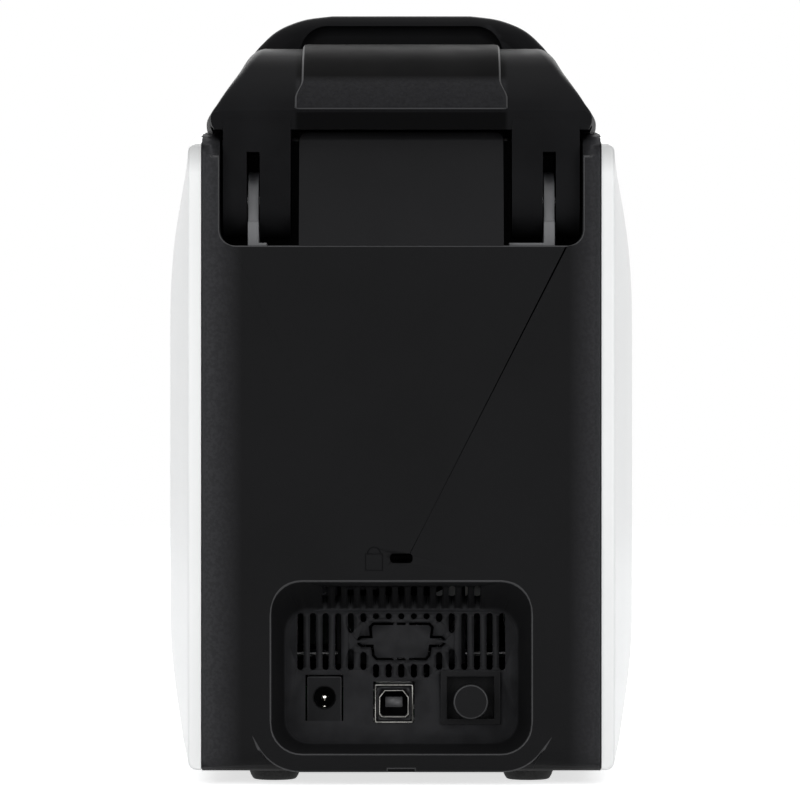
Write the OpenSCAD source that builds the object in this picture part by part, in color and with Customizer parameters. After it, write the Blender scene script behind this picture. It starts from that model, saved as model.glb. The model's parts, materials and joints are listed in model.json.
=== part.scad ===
// Desktop id card printer: rear-hinged top lid, white side covers, front card hoppers,
// a geared card transport, a ribbon cartridge, a card flipper and the rear connector bay.
// Millimetres. X is across the printer, +Y is the rear, +Z is up, z = 0 is the underside of the feet.

/* [Overall] */
// Width across the white side covers at their fullest
body_w = 160; // [150:1:175]
// Depth from the front bezel to the back panel
body_d = 386; // [376:1:400]
// Height from the feet to the crown of the lid
body_h = 241; // [238:1:250]
// Width of the black core between the side covers
core_w = 123; // [121:0.5:125]
// Height of the rubber feet
foot_h = 4; // [3:0.5:6]
// Wall of the moulded covers
wall = 2.5; // [2:0.1:3]

/* [Side covers] */
// How far the rear edge of a side cover stands out from the core
rear_step = 4; // [3:0.5:6]
// How far the front edge of a side cover stands out from the core
front_step = 5; // [3:0.5:8]
// Height of the side covers' crest above the lower edge of the lid
shoulder_over = 6; // [4:0.5:8]
// Corner radius of the side cover along its bottom and shoulder
cover_r = 6; // [4:0.5:8]

/* [Lid] */
// Height of the lid from its lower edge to its crown
lid_rise = 39; // [37:0.5:41]
// Half width of the lid at its lower edge
lid_half_w = 62.8; // [60:0.1:63.4]
// Half width of the lid where the flank meets the crown
crown_half_w = 45.8; // [42:0.5:50]
// Distance from the back panel to the rear rim of the lid's crown
visor_inset = 55; // [50:1:60]
// Distance from the front bezel to the front edge of the lid
lid_front_inset = 22; // [20:1:26]

/* [Hinge] */
// Distance from the rear face to the hinge axis
hinge_inset = 16; // [15:0.5:18]
// Height of the lid's lower edge above the hinge axis
hinge_drop = 21.5; // [20:0.5:23]
// Radius of the round end of the lid's hinge arms
arm_r = 11.5; // [10:0.5:12]
// Width of one hinge arm
arm_w = 20.8; // [18:0.2:21]
// Inner face of a hinge arm from the middle of the printer
arm_x = 34.2; // [33.8:0.2:35]
// Distance of the hinge plates from the middle of the printer
hinge_plate_x = 45.7; // [44:0.1:47]
// Thickness of a hinge plate
hinge_plate_t = 3.4; // [2:0.2:4]
// Radius of the hinge pins
hinge_pin_r = 2; // [1.5:0.25:3]

/* [Connector bay] */
// Width of the bay at the rear face
bay_w = 80.6; // [78:0.2:84]
// Height of the bay at the rear face
bay_h = 53.8; // [50:0.2:56]
// Height of the lower lip of the bay
bay_z = 9.5; // [8:0.5:12]
// Depth of the bay
bay_depth = 16; // [12:0.5:18]
// Corner radius of the bay
bay_r = 9.5; // [6:0.5:11]
// Distance between two vent slots
vent_pitch = 3.92; // [3.6:0.02:4]
// Width of a vent slot
vent_w = 1.9; // [1.5:0.1:2.2]

/* [Card path] */
// Width of a card
card_w = 54; // [52:0.5:56]
// Thickness of a card
card_t = 0.76; // [0.5:0.01:1]
// Height of the card path
path_z = 88; // [86:0.5:90]
// Radius of the rubber rollers under the path
roller_r = 7; // [6:0.5:8]
// Radius of the roller shafts
shaft_r = 2.5; // [2:0.25:3]
// Distance of the side frames from the middle
frame_x = 37.25; // [36:0.25:38]
// Thickness of the side frames
frame_t = 1.5; // [1:0.25:2]
// Number of teeth of the transport gears
transport_teeth = 24; // [20:4:24]
// Number of teeth of the motor pinion
pinion_teeth = 12; // [12:4:16]
// Gear module of every gear
gear_module = 1; // [0.9:0.05:1]

/* [Hoppers] */
// Height of the opening for the input hopper door
door_h = 62; // [56:1:64]
// Width of the input hopper door
door_w = 78; // [74:1:84]
// Height of the output tray front
tray_h = 58; // [50:1:60]
// Width of the output tray
tray_w = 68; // [62:1:70]

/* [Hidden] */
$fn = 48;
// Fine value that keeps a cut clear of the face that it opens
cut = 1;
// Play between pieces that are set beside each other
gap = 0.2;
// Play between a shaft and its hole
run_gap = 0.05;

rear_y = body_d / 2;
front_y = -body_d / 2;
core_x = core_w / 2;
cover_x = core_x + gap;
half_w = body_w / 2;
lid_z = body_h - lid_rise;
shoulder_h = lid_z + shoulder_over;
hinge_z = lid_z - hinge_drop;
hinge_y = rear_y - hinge_inset;
corner_r = 3.5;

// Top of the side cover along the depth
crest_y = 20;
widest_y = -55;
rear_drop = 11;
cover_end = 2.5;
cover_rear_y = rear_y - cover_end;
cover_front_y = front_y + cover_end;

// The deck under the lid and the pockets of the hinge arms
post_r = lid_z - hinge_z - 0.9;
deck_z = hinge_z + 19;
pocket_z = hinge_z - arm_r - 3;
pocket_front_y = hinge_y - arm_r - 1;
pocket_x0 = arm_x - 2.7;
pocket_x1 = arm_x + arm_w + 1;
tongue_top_z = lid_z - 0.7;
tongue_lean = 8.5;

door_low_z = path_z - 3;

// Control slope above the front bezel's face
slope_z = door_low_z + door_h + 3;
slope_run = lid_front_inset;
slope_top_z = slope_z + slope_run * 1.18;
front_drop = shoulder_h + 8 - slope_top_z;
slope_angle = atan(slope_run / (slope_top_z - slope_z));
slope_len = norm([slope_run, slope_top_z - slope_z]);

// Card transport
roller_z = path_z - roller_r;
transport_r = gear_module * transport_teeth / 2;
pinion_r = gear_module * pinion_teeth / 2;
roller_pitch = 4 * transport_r;
pick_y = -2 * roller_pitch;
clean_y = -roller_pitch;
platen_y = 0;
feed_y = roller_pitch;
pinch_r = 5;
pinch_shaft_r = 1.5;
pinch_z = path_z + card_t + pinch_r;
rubber_half = card_w / 2 + 1;
frame_out_x = frame_x + frame_t;
gear_x = frame_out_x + 0.8;
gear_w = 5.5;
bush_r = 4;
bush_flange_r = 5;
motor_w = 28;
motor_len = 30;
motor_shaft_r = 2.5;
motor_boss_r = 5;
motor_y = 2 * transport_r;
motor_z = roller_z - transport_r - pinion_r;

// Card flipper
flipper_y = rear_y - 88;
flipper_teeth = 60;
flipper_pinion_teeth = 24;
flipper_gear_r = gear_module * flipper_teeth / 2;
flipper_pinion_r = gear_module * flipper_pinion_teeth / 2;
flipper_motor_y = flipper_y + flipper_gear_r + flipper_pinion_r;
flipper_half_l = 24;
flipper_half_h = 11.5;
flipper_cheek_x = rubber_half + 2;
flipper_cheek_t = 2;
trunnion_r = 4;
flipper_roller_r = 6.4;

// Ribbon
supply_y = -42;
takeup_y = 38;
spool_z = path_z + 30;
core_r = 7;
film_r = 15;
ribbon_gear_x = gear_x + gear_w + 1.2;
ribbon_gear_w = 4.5;
ribbon_teeth = 60;
ribbon_pinion_teeth = 30;
ribbon_gear_r = gear_module * ribbon_teeth / 2;
ribbon_pinion_r = gear_module * ribbon_pinion_teeth / 2;
ribbon_reach = (ribbon_gear_r + ribbon_pinion_r) * sqrt(0.5);
ribbon_motor_y = takeup_y + ribbon_reach;
ribbon_motor_z = spool_z + ribbon_reach;
ribbon_motor_w = 24;
cartridge_x = 33.6;
cartridge_front_y = -64;

// Connector bay
bay_top_z = bay_z + bay_h;
bay_floor_w = bay_w - 9;
bay_floor_z0 = bay_z + 2.6;
bay_floor_z1 = bay_top_z - 10.6;
bay_floor_y = rear_y - bay_depth;
bay_inner_y = bay_floor_y - wall;
vent_top_z = bay_floor_z1 - 0.4;
vent_low_z = bay_floor_z0 + 22.5;
vent_deep_z = vent_low_z - 2.4;
vent_columns = 8;
dsub_z = bay_floor_z0 + 31.4;
jack_x = 23.9;
jack_z = 26;
jack_size = [11.8, 14.3];
usb_x = 2.3;
usb_z = 24.8;
usb_size = [12.8, 12.5];
switch_x = -21.5;
switch_z = 26.1;
switch_size = [17, 15];
button_r = 5.4;
button_z = switch_z - 1;
lock_z = 69.8;
lock_w = 7;
lock_h = 3;

// Base, board and frames
floor_z = foot_h + wall;
base_x = core_x - wall - gap;
base_end_y = rear_y - wall;
lip_y = rear_y - 17;
side_floor_y = rear_y - 38;
board_z = 16;
board_t = 1.6;
board_top = board_z + board_t;
board_y0 = rear_y - 109;
board_y1 = rear_y - 21;
board_half_w = base_x - wall - 4.3;
frame_y0 = pick_y - 10;
frame_y1 = rear_y - 27;
frame_top_z = ribbon_motor_z + ribbon_motor_w / 2 + 4.2;
frame_step_y = board_y0 - 6;
frame_step_z = board_z + 10;
// Centres of the bars that tie the two frames, in Y and Z
tie_places = [[frame_y0 + 16, 24], [frame_step_y - 20, 34], [frame_y1 - 8, pocket_z - 16],
    [-40, frame_top_z - 8]];
foot_x = 39.6;
foot_y = rear_y - 28;

// Hoppers
hopper_y0 = front_y + 9;
hopper_y1 = pick_y + 8;
hopper_x = card_w / 2 + 0.5;
hopper_wall = 2;
hopper_top_z = path_z + 66;
hopper_floor_z = path_z - 0.3;
hopper_floor_y = pick_y - roller_r - 1.5;
door_r = 4;
door_z = door_low_z;
door_y = front_y + door_r;
door_t = 3;
door_half = door_w / 2;
tray_z = foot_h + 9;
tray_y1 = pick_y - 1;
weight_z = path_z + 0.4;
gate_y = clean_y - 14;
gate_len = 20;
gate_z = path_z - 2.5;

// Outer surface of the side covers: reach from the middle, height of the top edge, lean near its two edges
function side_reach(y) = y > widest_y
    ? half_w - (half_w - core_x - rear_step) * pow((y - widest_y) / (rear_y - widest_y), 2)
    : half_w - (half_w - core_x - front_step) * pow((widest_y - y) / (widest_y - front_y), 2);
function side_top(y) = shoulder_h - (y > crest_y
    ? rear_drop * pow((y - crest_y) / (rear_y - crest_y), 2)
    : front_drop * pow((crest_y - y) / (crest_y - front_y), 2));
lean_z0 = 45;
lean_z1 = shoulder_h - 68;
function side_tuck(y, z) = (1 - pow(y / rear_y, 2))
    * (z < lean_z0 ? 5.6 * pow((lean_z0 - z) / (lean_z0 - foot_h), 1.8)
    : z > lean_z1 ? 11.5 * pow((z - lean_z1) / (shoulder_h - lean_z1), 2.6) : 0);

// Closed solid through rings of equal point count
module loft(rings) {
    n = len(rings[0]);
    m = len(rings);
    points = [for (ring = rings) each ring];
    sides = [for (i = [0:m - 2], j = [0:n - 1]) let (k = (j + 1) % n)
        each [[i * n + j, i * n + k, (i + 1) * n + k], [i * n + j, (i + 1) * n + k, (i + 1) * n + j]]];
    ends = [[for (j = [n - 1:-1:0]) j], [for (j = [0:n - 1]) (m - 1) * n + j]];
    polyhedron(points, concat(sides, ends));
}

// Extrudes a Y-Z outline along X, from x0 to x1
module across(x0, x1) {
    translate([x0, 0, 0]) rotate([90, 0, 90]) linear_extrude(x1 - x0) children();
}

// Extrudes an X-Z outline along Y, from y0 to y1
module along(y0, y1) {
    translate([0, y1, 0]) rotate([90, 0, 0]) linear_extrude(y1 - y0) children();
}

module mirrored_x() {
    children();
    mirror([1, 0, 0]) children();
}

module box(low, high) {
    translate(low) cube(high - low);
}

// Shaft or hole along X
module rod(x0, x1, y, z, r) {
    translate([x0, y, z]) rotate([0, 90, 0]) cylinder(h = x1 - x0, r = r);
}

// Round-cornered outline centred on the origin
module soft_rect(w, h, r) {
    square([w - 2 * r, h], center = true);
    square([w, h - 2 * r], center = true);
    for (x = [-1, 1], y = [-1, 1])
        translate([x * (w / 2 - r), y * (h / 2 - r)]) circle(r = r);
}

// Upright slot with round ends in an outline
module slot(x, z0, z1, w) {
    translate([x, (z0 + z1) / 2]) soft_rect(w, z1 - z0, w / 2 - 0.01);
}

// Half outline of a side cover at one depth, in X and Z, from the core outwards
function cover_section(y, inset) = let (
    reach = side_reach(y) - inset,
    low = foot_h + 0.5 + inset,
    high = side_top(y) - inset,
    r = max(0.3, min(cover_r, (side_reach(y) - cover_x) * 0.42) - inset * 0.6),
    inner = inset > 0 ? cover_x - 6 : cover_x,
    x_low = reach - side_tuck(y, low + r),
    x_high = reach - side_tuck(y, high - r))
    concat([[inner, low]],
        [for (a = [-90:30:0]) [x_low - r + r * cos(a), low + r + r * sin(a)]],
        [for (k = [1:9]) let (z = low + r + (high - low - 2 * r) * k / 10) [reach - side_tuck(y, z), z]],
        [for (a = [0:22.5:90]) [x_high - r + r * cos(a), high - r + r * sin(a)]],
        [[inner, high]]);

module cover_form(y0, y1, inset) {
    steps = 14;
    loft([for (i = [0:steps]) let (y = y0 + (y1 - y0) * i / steps)
        [for (p = cover_section(y, inset)) [p[0], y, p[1]]]]);
}

clip_z = floor_z + 7;
module side_cover() {
    // Ribs that hook onto the side walls of the base
    for (y = [-120, 0, 120])
        box([base_x, y - 4, clip_z - 3], [side_reach(y) - side_tuck(y, clip_z - 3) - wall / 2, y + 4,
            clip_z + 3]);
    difference() {
        cover_form(cover_front_y, cover_rear_y, 0);
        cover_form(cover_front_y + wall, cover_rear_y - wall, wall);
        box([cover_x - cut, front_y, lid_z - 0.5], [lid_half_w + 1, rear_y, body_h]);
    }
}

module right_side_cover() { color("whitesmoke") side_cover(); }
module left_side_cover() { color("whitesmoke") mirror([1, 0, 0]) side_cover(); }

module base_tray() {
    color([0.1, 0.1, 0.11]) {
        box([-base_x, -base_end_y, foot_h], [base_x, lip_y, floor_z]);
        box([-core_x, -side_floor_y, foot_h], [core_x, side_floor_y, floor_z]);
        mirrored_x() box([base_x - wall, -base_end_y, floor_z], [base_x, lip_y, floor_z + 16]);
        for (x = [-board_half_w + 6, board_half_w - 6], y = [board_y0 + 6, board_y1 - 10])
            translate([x, y, floor_z]) cylinder(h = board_z - floor_z, r = 3);
        for (y = [frame_y0 + 12, -20, 50])
            mirrored_x() box([frame_out_x, y, floor_z], [frame_out_x + 3, y + 8, floor_z + 12]);
        for (x = [-24, 0, 24]) box([x - 0.75, frame_y0 + 16, floor_z],
            [x + 0.75, frame_step_y - 8, floor_z + 4]);
    }
}

module rubber_feet() {
    color([0.06, 0.06, 0.06])
        for (x = [-foot_x, foot_x], y = [-foot_y, foot_y])
            translate([x, y, 0]) {
                cylinder(h = foot_h * 0.35, r1 = 6.6, r2 = 7.4);
                translate([0, 0, foot_h * 0.35]) cylinder(h = foot_h * 0.65, r1 = 7.4, r2 = 8.4);
            }
}

// Tapered form of the connector bay, grown by a wall's thickness
module bay_form(grow) {
    hull() {
        translate([0, rear_y + (grow > 0 ? -grow : cut), (bay_z + bay_top_z) / 2]) rotate([90, 0, 0])
            linear_extrude(0.01) soft_rect(bay_w + 2 * grow, bay_h + 2 * grow, bay_r + grow, $fn = 32);
        translate([0, bay_floor_y - grow, (bay_floor_z0 + bay_floor_z1) / 2]) rotate([90, 0, 0])
            linear_extrude(0.01) soft_rect(bay_floor_w + 2 * grow, bay_floor_z1 - bay_floor_z0 + 2 * grow,
                bay_r - 2 + grow, $fn = 32);
    }
}

// Outline of the serial port that can be knocked out
module dsub_outline(grow) {
    offset(delta = grow) union() {
        polygon([[-9.6, 4.4], [-8.6, 5.4], [8.6, 5.4], [9.6, 4.4], [8.6, -4.4], [7.6, -5.4],
            [-7.6, -5.4], [-8.6, -4.4]]);
        soft_rect(26.6, 2.6, 1.2, $fn = 24);
    }
}

module dsub_groove() {
    difference() {
        dsub_outline(0.5);
        dsub_outline(-0.35);
        for (x = [-1.9, 1.9]) translate([x - 0.5, -8]) square([1, 16]);
        for (x = [-1, 1]) translate([x * 13.4 - 0.8, -0.4]) square([1.6, 0.8]);
    }
}

// Vent slots in the floor of the bay
module floor_vents() {
    for (k = [-vent_columns:vent_columns]) {
        x = k * vent_pitch;
        side = abs(k);
        if (side > 4) slot(x, vent_low_z, vent_top_z, vent_w);
        else if (side == 4) {
            slot(x, vent_low_z, dsub_z - 2.3, vent_w);
            slot(x, dsub_z + 2.6, vent_top_z, vent_w);
        } else if (side == 3) {
            slot(x, vent_low_z, dsub_z - 3.3, vent_w);
            slot(x, dsub_z + 6, vent_top_z, vent_w);
        } else {
            slot(x, vent_deep_z, dsub_z - 7, vent_w);
            slot(x, vent_top_z - vent_w - 0.05, vent_top_z, vent_w);
        }
    }
}

module bay_cuts() {
    along(bay_inner_y - cut, bay_floor_y + cut) {
        floor_vents();
        translate([0, dsub_z]) dsub_groove();
        translate([jack_x, jack_z]) square(jack_size, center = true);
        translate([usb_x, usb_z]) square(usb_size, center = true);
        translate([switch_x, switch_z]) square(switch_size, center = true);
    }
    for (k = [-6:6])
        translate([k * vent_pitch, 0, bay_floor_z1 - 8]) linear_extrude(24)
            translate([0, bay_floor_y + 6.4]) soft_rect(vent_w, 9, vent_w / 2 - 0.01);
}

// Plan outline of the back panel and its two side returns
module panel_plan_full() {
    translate([0, rear_y - 15]) soft_rect(core_w, 30, corner_r);
}

function arc(y, z, r, a0, a1, n) = [for (i = [0:n]) let (a = a0 + (a1 - a0) * i / n) [y + r * cos(a),
    z + r * sin(a)]];
module panel_shell() {
    edge_r = 8;
    intersection() {
        translate([0, 0, foot_h]) linear_extrude(pocket_z - foot_h) panel_plan_full();
        difference() {
            across(-core_x, core_x) polygon(concat([[rear_y - 40, pocket_z], [rear_y, pocket_z]],
                arc(rear_y - edge_r, foot_h + edge_r, edge_r, 0, -90, 8), [[rear_y - 40, foot_h]]));
            across(wall - core_x, core_x - wall) polygon(concat([[rear_y - 50, pocket_z + cut],
                [rear_y - wall, pocket_z + cut]],
                arc(rear_y - edge_r, foot_h + edge_r, edge_r - wall, 0, -90, 8), [[rear_y - 50, floor_z]]));
            box([-base_x, lip_y - 30, foot_h - cut], [base_x, lip_y, floor_z + cut]);
        }
    }
    // Land around the bay, carried straight down to the underside
    along(rear_y - wall, rear_y) translate([0, foot_h + 24]) soft_rect(bay_w + 11.5, 48, 15);
    // Posts that the fan is screwed to
    for (x = [-16, 16]) {
        rod_y(x, fan_z + 16, fan_y0 + 10, rear_y - wall / 2, 3);
        rod_y(x, fan_z - 16, fan_y0 + 10, bay_inner_y + 0.5, 3);
    }
}

// Posts beside the hinge pockets
module pocket_posts() {
    mirrored_x() intersection() {
        translate([0, 0, pocket_z - wall]) linear_extrude(lid_z) translate([0,
            rear_y - 15]) soft_rect(core_w, 30, corner_r);
        across(pocket_x1, core_x) difference() {
            union() {
                translate([hinge_y, hinge_z]) circle(r = post_r);
                translate([pocket_front_y, pocket_z - wall]) square([rear_y - pocket_front_y,
                    hinge_z - pocket_z + wall]);
            }
            translate([0, 0]) square([pocket_front_y, body_h]);
        }
    }
}

module padlock_mark() {
    translate([8.4, lock_z - 1.2]) {
        difference() {
            square([5.6, 5.4], center = true);
            square([4.8, 4.6], center = true);
        }
        translate([0, 2.7]) difference() {
            circle(r = 2.1);
            circle(r = 1.7);
            translate([-3, -4]) square([6, 4]);
        }
    }
}

fillet_r = 5;
module back_panel() {
    color([0.11, 0.11, 0.12]) {
        difference() {
            union() {
                panel_shell();
                bay_form(wall);
            }
            bay_form(0);
            bay_cuts();
            along(rear_y - wall - cut, rear_y + cut) translate([0, lock_z]) soft_rect(lock_w, lock_h, 1.2);
            along(rear_y - 0.3, rear_y + cut) padlock_mark();
            box([-4.1, rear_y - 1, foot_h - cut], [4.1, rear_y + cut, foot_h + 1]);
        }
        pocket_posts();
        // Round lower corners of the hinge pockets
        mirrored_x() along(pocket_front_y + wall, rear_y) translate([pocket_x1, pocket_z]) difference() {
            translate([-fillet_r, 0]) square([fillet_r + wall, fillet_r]);
            translate([-fillet_r, fillet_r]) circle(r = fillet_r);
        }
        // Closed cavity behind the lock slot
        difference() {
            box([-lock_w / 2 - 2, rear_y - 11, lock_z - lock_h / 2 - 1.5],
                [lock_w / 2 + 2, rear_y - wall / 2, lock_z + lock_h / 2 + 1.5]);
            box([-lock_w / 2 - 0.5, rear_y - 9.5, lock_z - lock_h / 2],
                [lock_w / 2 + 0.5, rear_y, lock_z + lock_h / 2]);
        }
    }
}

// Lid: crown height, lower edge and crown width along the depth
lid_rear_y = rear_y - visor_inset;
lid_front_y = front_y + lid_front_inset;
flat_y = lid_rear_y - 78;
nose_h = body_h - slope_top_z - 7;
function lid_top(y) = body_h - (y < flat_y ? nose_h * pow((flat_y - y) / (flat_y - lid_front_y), 3) : 0);
function lid_low(y) = y < 0 ? min(lid_z, side_top(y) + 0.9) : lid_z;
function crown_w(y) = crown_half_w + (y < flat_y
    ? (lid_half_w - 5 - crown_half_w) * pow((flat_y - y) / (flat_y - lid_front_y), 2) : 0);

// Share of the flank's lean, or of the crown's width, against the share of the lid's height
flank_form = [[1, 0], [1.01, 0.06], [0.935, 0.144], [0.794, 0.24], [0.647, 0.34], [0.488, 0.436],
    [0.318, 0.536], [0.176, 0.633], [0, 0.73]];
crown_form = [[0.96, 0.78], [0.918, 0.828], [0.864, 0.877], [0.785, 0.925], [0.655, 0.974], [0.48, 1]];
function lid_half(y, inset) = let (
    low = lid_low(y),
    h = lid_top(y) - low,
    c = crown_w(y))
    concat(inset > 0 ? [[lid_half_w - inset * 1.2, low - cut - 1]] : [],
        [for (p = flank_form) if (inset == 0 || p[1] > 0)
            [c + (lid_half_w - c) * p[0] - inset * 1.2, low + h * p[1] - inset * p[1]]],
        [for (p = crown_form) [(c - inset) * p[0], low + h * p[1] - inset * p[1]]]);
function lid_outline(y, inset) = let (half = lid_half(y, inset), n = len(half))
    concat(half, [for (i = [n - 1:-1:0]) [-half[i][0], half[i][1]]]);

module lid_form(y0, y1, inset, steps) {
    loft([for (i = [0:steps]) let (y = y0 + (y1 - y0) * i / steps)
        [for (p = lid_outline(y, inset)) [p[0], y, p[1]]]]);
}

liner_z = lid_z + 4;
liner_t = 2;
liner_half = 48;
liner_y0 = pick_y - 9;
liner_y1 = lid_rear_y - 8;

recess_half = 32.5;
rim_t = 3.4;
module lid_shell() {
    color([0.1, 0.1, 0.11]) {
        difference() {
            lid_form(lid_front_y, lid_rear_y, 0, 16);
            lid_form(lid_front_y + wall, lid_rear_y - 4 - wall, wall, 16);
            // Recess under the rear rim of the crown
            along(lid_rear_y - 4, lid_rear_y + cut) translate([0, body_h - rim_t - 11])
                soft_rect(2 * recess_half, 22, 9);
        }
        for (x = [-26, 26], y = [liner_y0 + 12, 0, liner_y1 - 12])
            translate([x, y, liner_z + liner_t]) cylinder(h = lid_top(y) - wall / 2 - liner_z - liner_t,
                r = 3.5);
    }
}

module lid_liner() {
    color([0.16, 0.16, 0.17]) difference() {
        union() {
            box([-liner_half, liner_y0, liner_z], [liner_half, liner_y1, liner_z + liner_t]);
            for (x = [-liner_half, liner_half - 2])
                box([x, liner_y0, liner_z - 2.5], [x + 2, liner_y1 - 44, liner_z]);
        }
        for (x = [-26, 26], y = [liner_y0 + 12, 0, liner_y1 - 12])
            translate([x, y, liner_z - cut]) cylinder(h = liner_t + 2 * cut, r = 1.6);
    }
}

// Rear part of the lid, seen in Y and Z, lowered by a drop
cover_arc = [[0, 29], [12, 28.8], [20, 27.8], [28, 25.6], [36, 21.8], [43, 16.6], [47.5, 11.6], [50, 7]];
arm_rear_y = hinge_y + arm_r;
function cover_profile(drop) = concat(
    [[lid_rear_y - cut, lid_z - cut], [lid_rear_y - cut, lid_z + 29 - drop]],
    [for (p = cover_arc) [lid_rear_y + p[0] * (arm_rear_y - lid_rear_y) / 50 - drop * 0.4,
        lid_z + p[1] - drop]],
    [[arm_rear_y - drop * 0.4, lid_z - cut]]);
band_half = arm_x - 2.6;

// Outline of the lid's rear part, narrower and lower towards its rear end
cowl_end = [0.95, 0.88];
module cowl_form(y0, y1, inset) {
    loft([for (y = [y0, y1]) let (s = (y - lid_rear_y) / (arm_rear_y - lid_rear_y))
        [for (p = lid_outline(lid_rear_y, inset))
            [p[0] * (1 + (cowl_end[0] - 1) * s), y, lid_z + (p[1] - lid_z) * (1 + (cowl_end[1] - 1) * s)]]]);
}

module hinge_arms() {
    mirrored_x() difference() {
        across(arm_x, arm_x + arm_w) {
            translate([hinge_y, hinge_z]) circle(r = arm_r);
            intersection() {
                translate([hinge_y - arm_r, hinge_z]) square([2 * arm_r, lid_z + 9 - hinge_z]);
                union() {
                    polygon(cover_profile(1.4));
                    translate([hinge_y - arm_r, hinge_z]) square([2 * arm_r - 0.56, lid_z - hinge_z]);
                }
            }
        }
        box([hinge_plate_x - hinge_plate_t / 2 - 0.35, lid_rear_y, hinge_z - 20],
            [hinge_plate_x + hinge_plate_t / 2 + 0.35, rear_y, hinge_z + 14.6]);
        rod(arm_x + 2, arm_x + arm_w - 1, hinge_y, hinge_z, hinge_pin_r);
    }
}

module lid_hinge_cover() {
    color([0.1, 0.1, 0.11]) {
        difference() {
            intersection() {
                cowl_form(lid_rear_y, arm_rear_y, 0);
                union() {
                    across(-half_w, half_w) polygon(cover_profile(1.4));
                    across(-band_half, band_half) polygon(cover_profile(0));
                }
                box([-half_w, lid_rear_y - cut, lid_z], [half_w, rear_y, body_h]);
            }
            intersection() {
                cowl_form(lid_rear_y - cut, arm_rear_y - wall, wall);
                across(-half_w, half_w) polygon(cover_profile(1.4 + wall));
            }
            rod(-half_w, half_w, hinge_y, hinge_z, post_r + 2.6);
        }
        hinge_arms();
    }
}

module hinge_pins() {
    color("silver") mirrored_x() rod(arm_x + 2, arm_x + arm_w - 1, hinge_y, hinge_z, hinge_pin_r);
}

// Fixed hinge plate with a foot of a given width on its inner side
module hinge_plate(foot) {
    color([0.62, 0.62, 0.63]) difference() {
        union() {
            across(hinge_plate_x - hinge_plate_t / 2, hinge_plate_x + hinge_plate_t / 2) {
                translate([hinge_y, hinge_z]) circle(r = 8.7);
                translate([hinge_y - 8.7, pocket_z]) square([17.4, hinge_z - pocket_z]);
                translate([hinge_y - 8, pocket_z]) square([18.4, 7.5]);
            }
            box([hinge_plate_x - foot, hinge_y - 8, pocket_z],
                [hinge_plate_x, hinge_y + 10.4, pocket_z + 1]);
        }
        rod(arm_x, arm_x + arm_w, hinge_y, hinge_z, hinge_pin_r + run_gap);
    }
}

module right_hinge_plate() { hinge_plate(4.2); }
module left_hinge_plate() { mirror([1, 0, 0]) hinge_plate(12.5); }

// Deck under the lid with the tongue between the hinge pockets and the pocket walls
module inner_deck() {
    color([0.1, 0.1, 0.11]) {
        // Tongue, then the front walls and floors of the pockets
        across(-pocket_x0, pocket_x0) polygon([[rear_y - wall, pocket_z], [rear_y, pocket_z],
            [rear_y - tongue_lean, tongue_top_z - 2], [rear_y - tongue_lean - 2, tongue_top_z],
                [hinge_y - 1, tongue_top_z],
            [hinge_y - 1, tongue_top_z - wall], [rear_y - tongue_lean - 3.5, tongue_top_z - wall],
                [rear_y - wall - 1, pocket_z + 3]]);
        mirrored_x() {
            box([pocket_x0 - wall, pocket_front_y - wall, pocket_z], [core_x, pocket_front_y, deck_z]);
            box([pocket_x0 - wall, pocket_front_y - wall, pocket_z - wall],
                [pocket_x1, rear_y - wall, pocket_z]);
            across(pocket_x0 - wall, pocket_x0) polygon([[pocket_front_y, pocket_z],
                [rear_y - wall, pocket_z],
                [rear_y - tongue_lean - 1, tongue_top_z - 2], [pocket_front_y, tongue_top_z - 2]]);
        }
        box([-core_x, liner_y1 - 58, deck_z - wall], [core_x, pocket_front_y, deck_z]);
    }
}

// Places its children in the slope's own plane: x across, y up the slope, z out of the face
module on_slope(s) {
    translate([0, front_y, slope_z]) rotate([90 - slope_angle, 0, 0]) translate([0, s, 0]) children();
}
window_s = slope_len * 0.42;
window_size = [44, 17];
button_s = window_s;
side_button_x = 38;
side_button_r = 5;
release_s = slope_len - 6.5;
release_size = [34, 6];
tray_slot_z1 = tray_z + tray_h + 1;

// Outline of the front in Y and Z: the upright face and the control slope
module front_outline(grow) {
    polygon([[front_y - grow, foot_h - (grow < 0 ? cut : 0)], [front_y - grow, slope_z + grow * 0.4],
        [front_y + slope_run, slope_top_z + grow * 1.2], [front_y + slope_run + 12,
            slope_top_z + grow * 1.2],
        [front_y + slope_run + 12, foot_h - (grow < 0 ? cut : 0)]]);
}

latch_y = lid_front_y + 6;
latch_z = slope_top_z - 18;
ear_x = window_size[0] / 2 + 3.2;
module latch_ears() {
    mirrored_x() across(ear_x, ear_x + 2.5) polygon([[front_y + slope_run * 0.3, slope_z + 6],
        [latch_y - 3, latch_z - 3],
        [latch_y + 3, latch_z - 3], [latch_y + 3, latch_z + 3],
            [front_y + slope_run * 0.8, slope_top_z - 7]]);
    rod(-ear_x - 1, ear_x + 1, latch_y, latch_z, 1.5);
}

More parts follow.
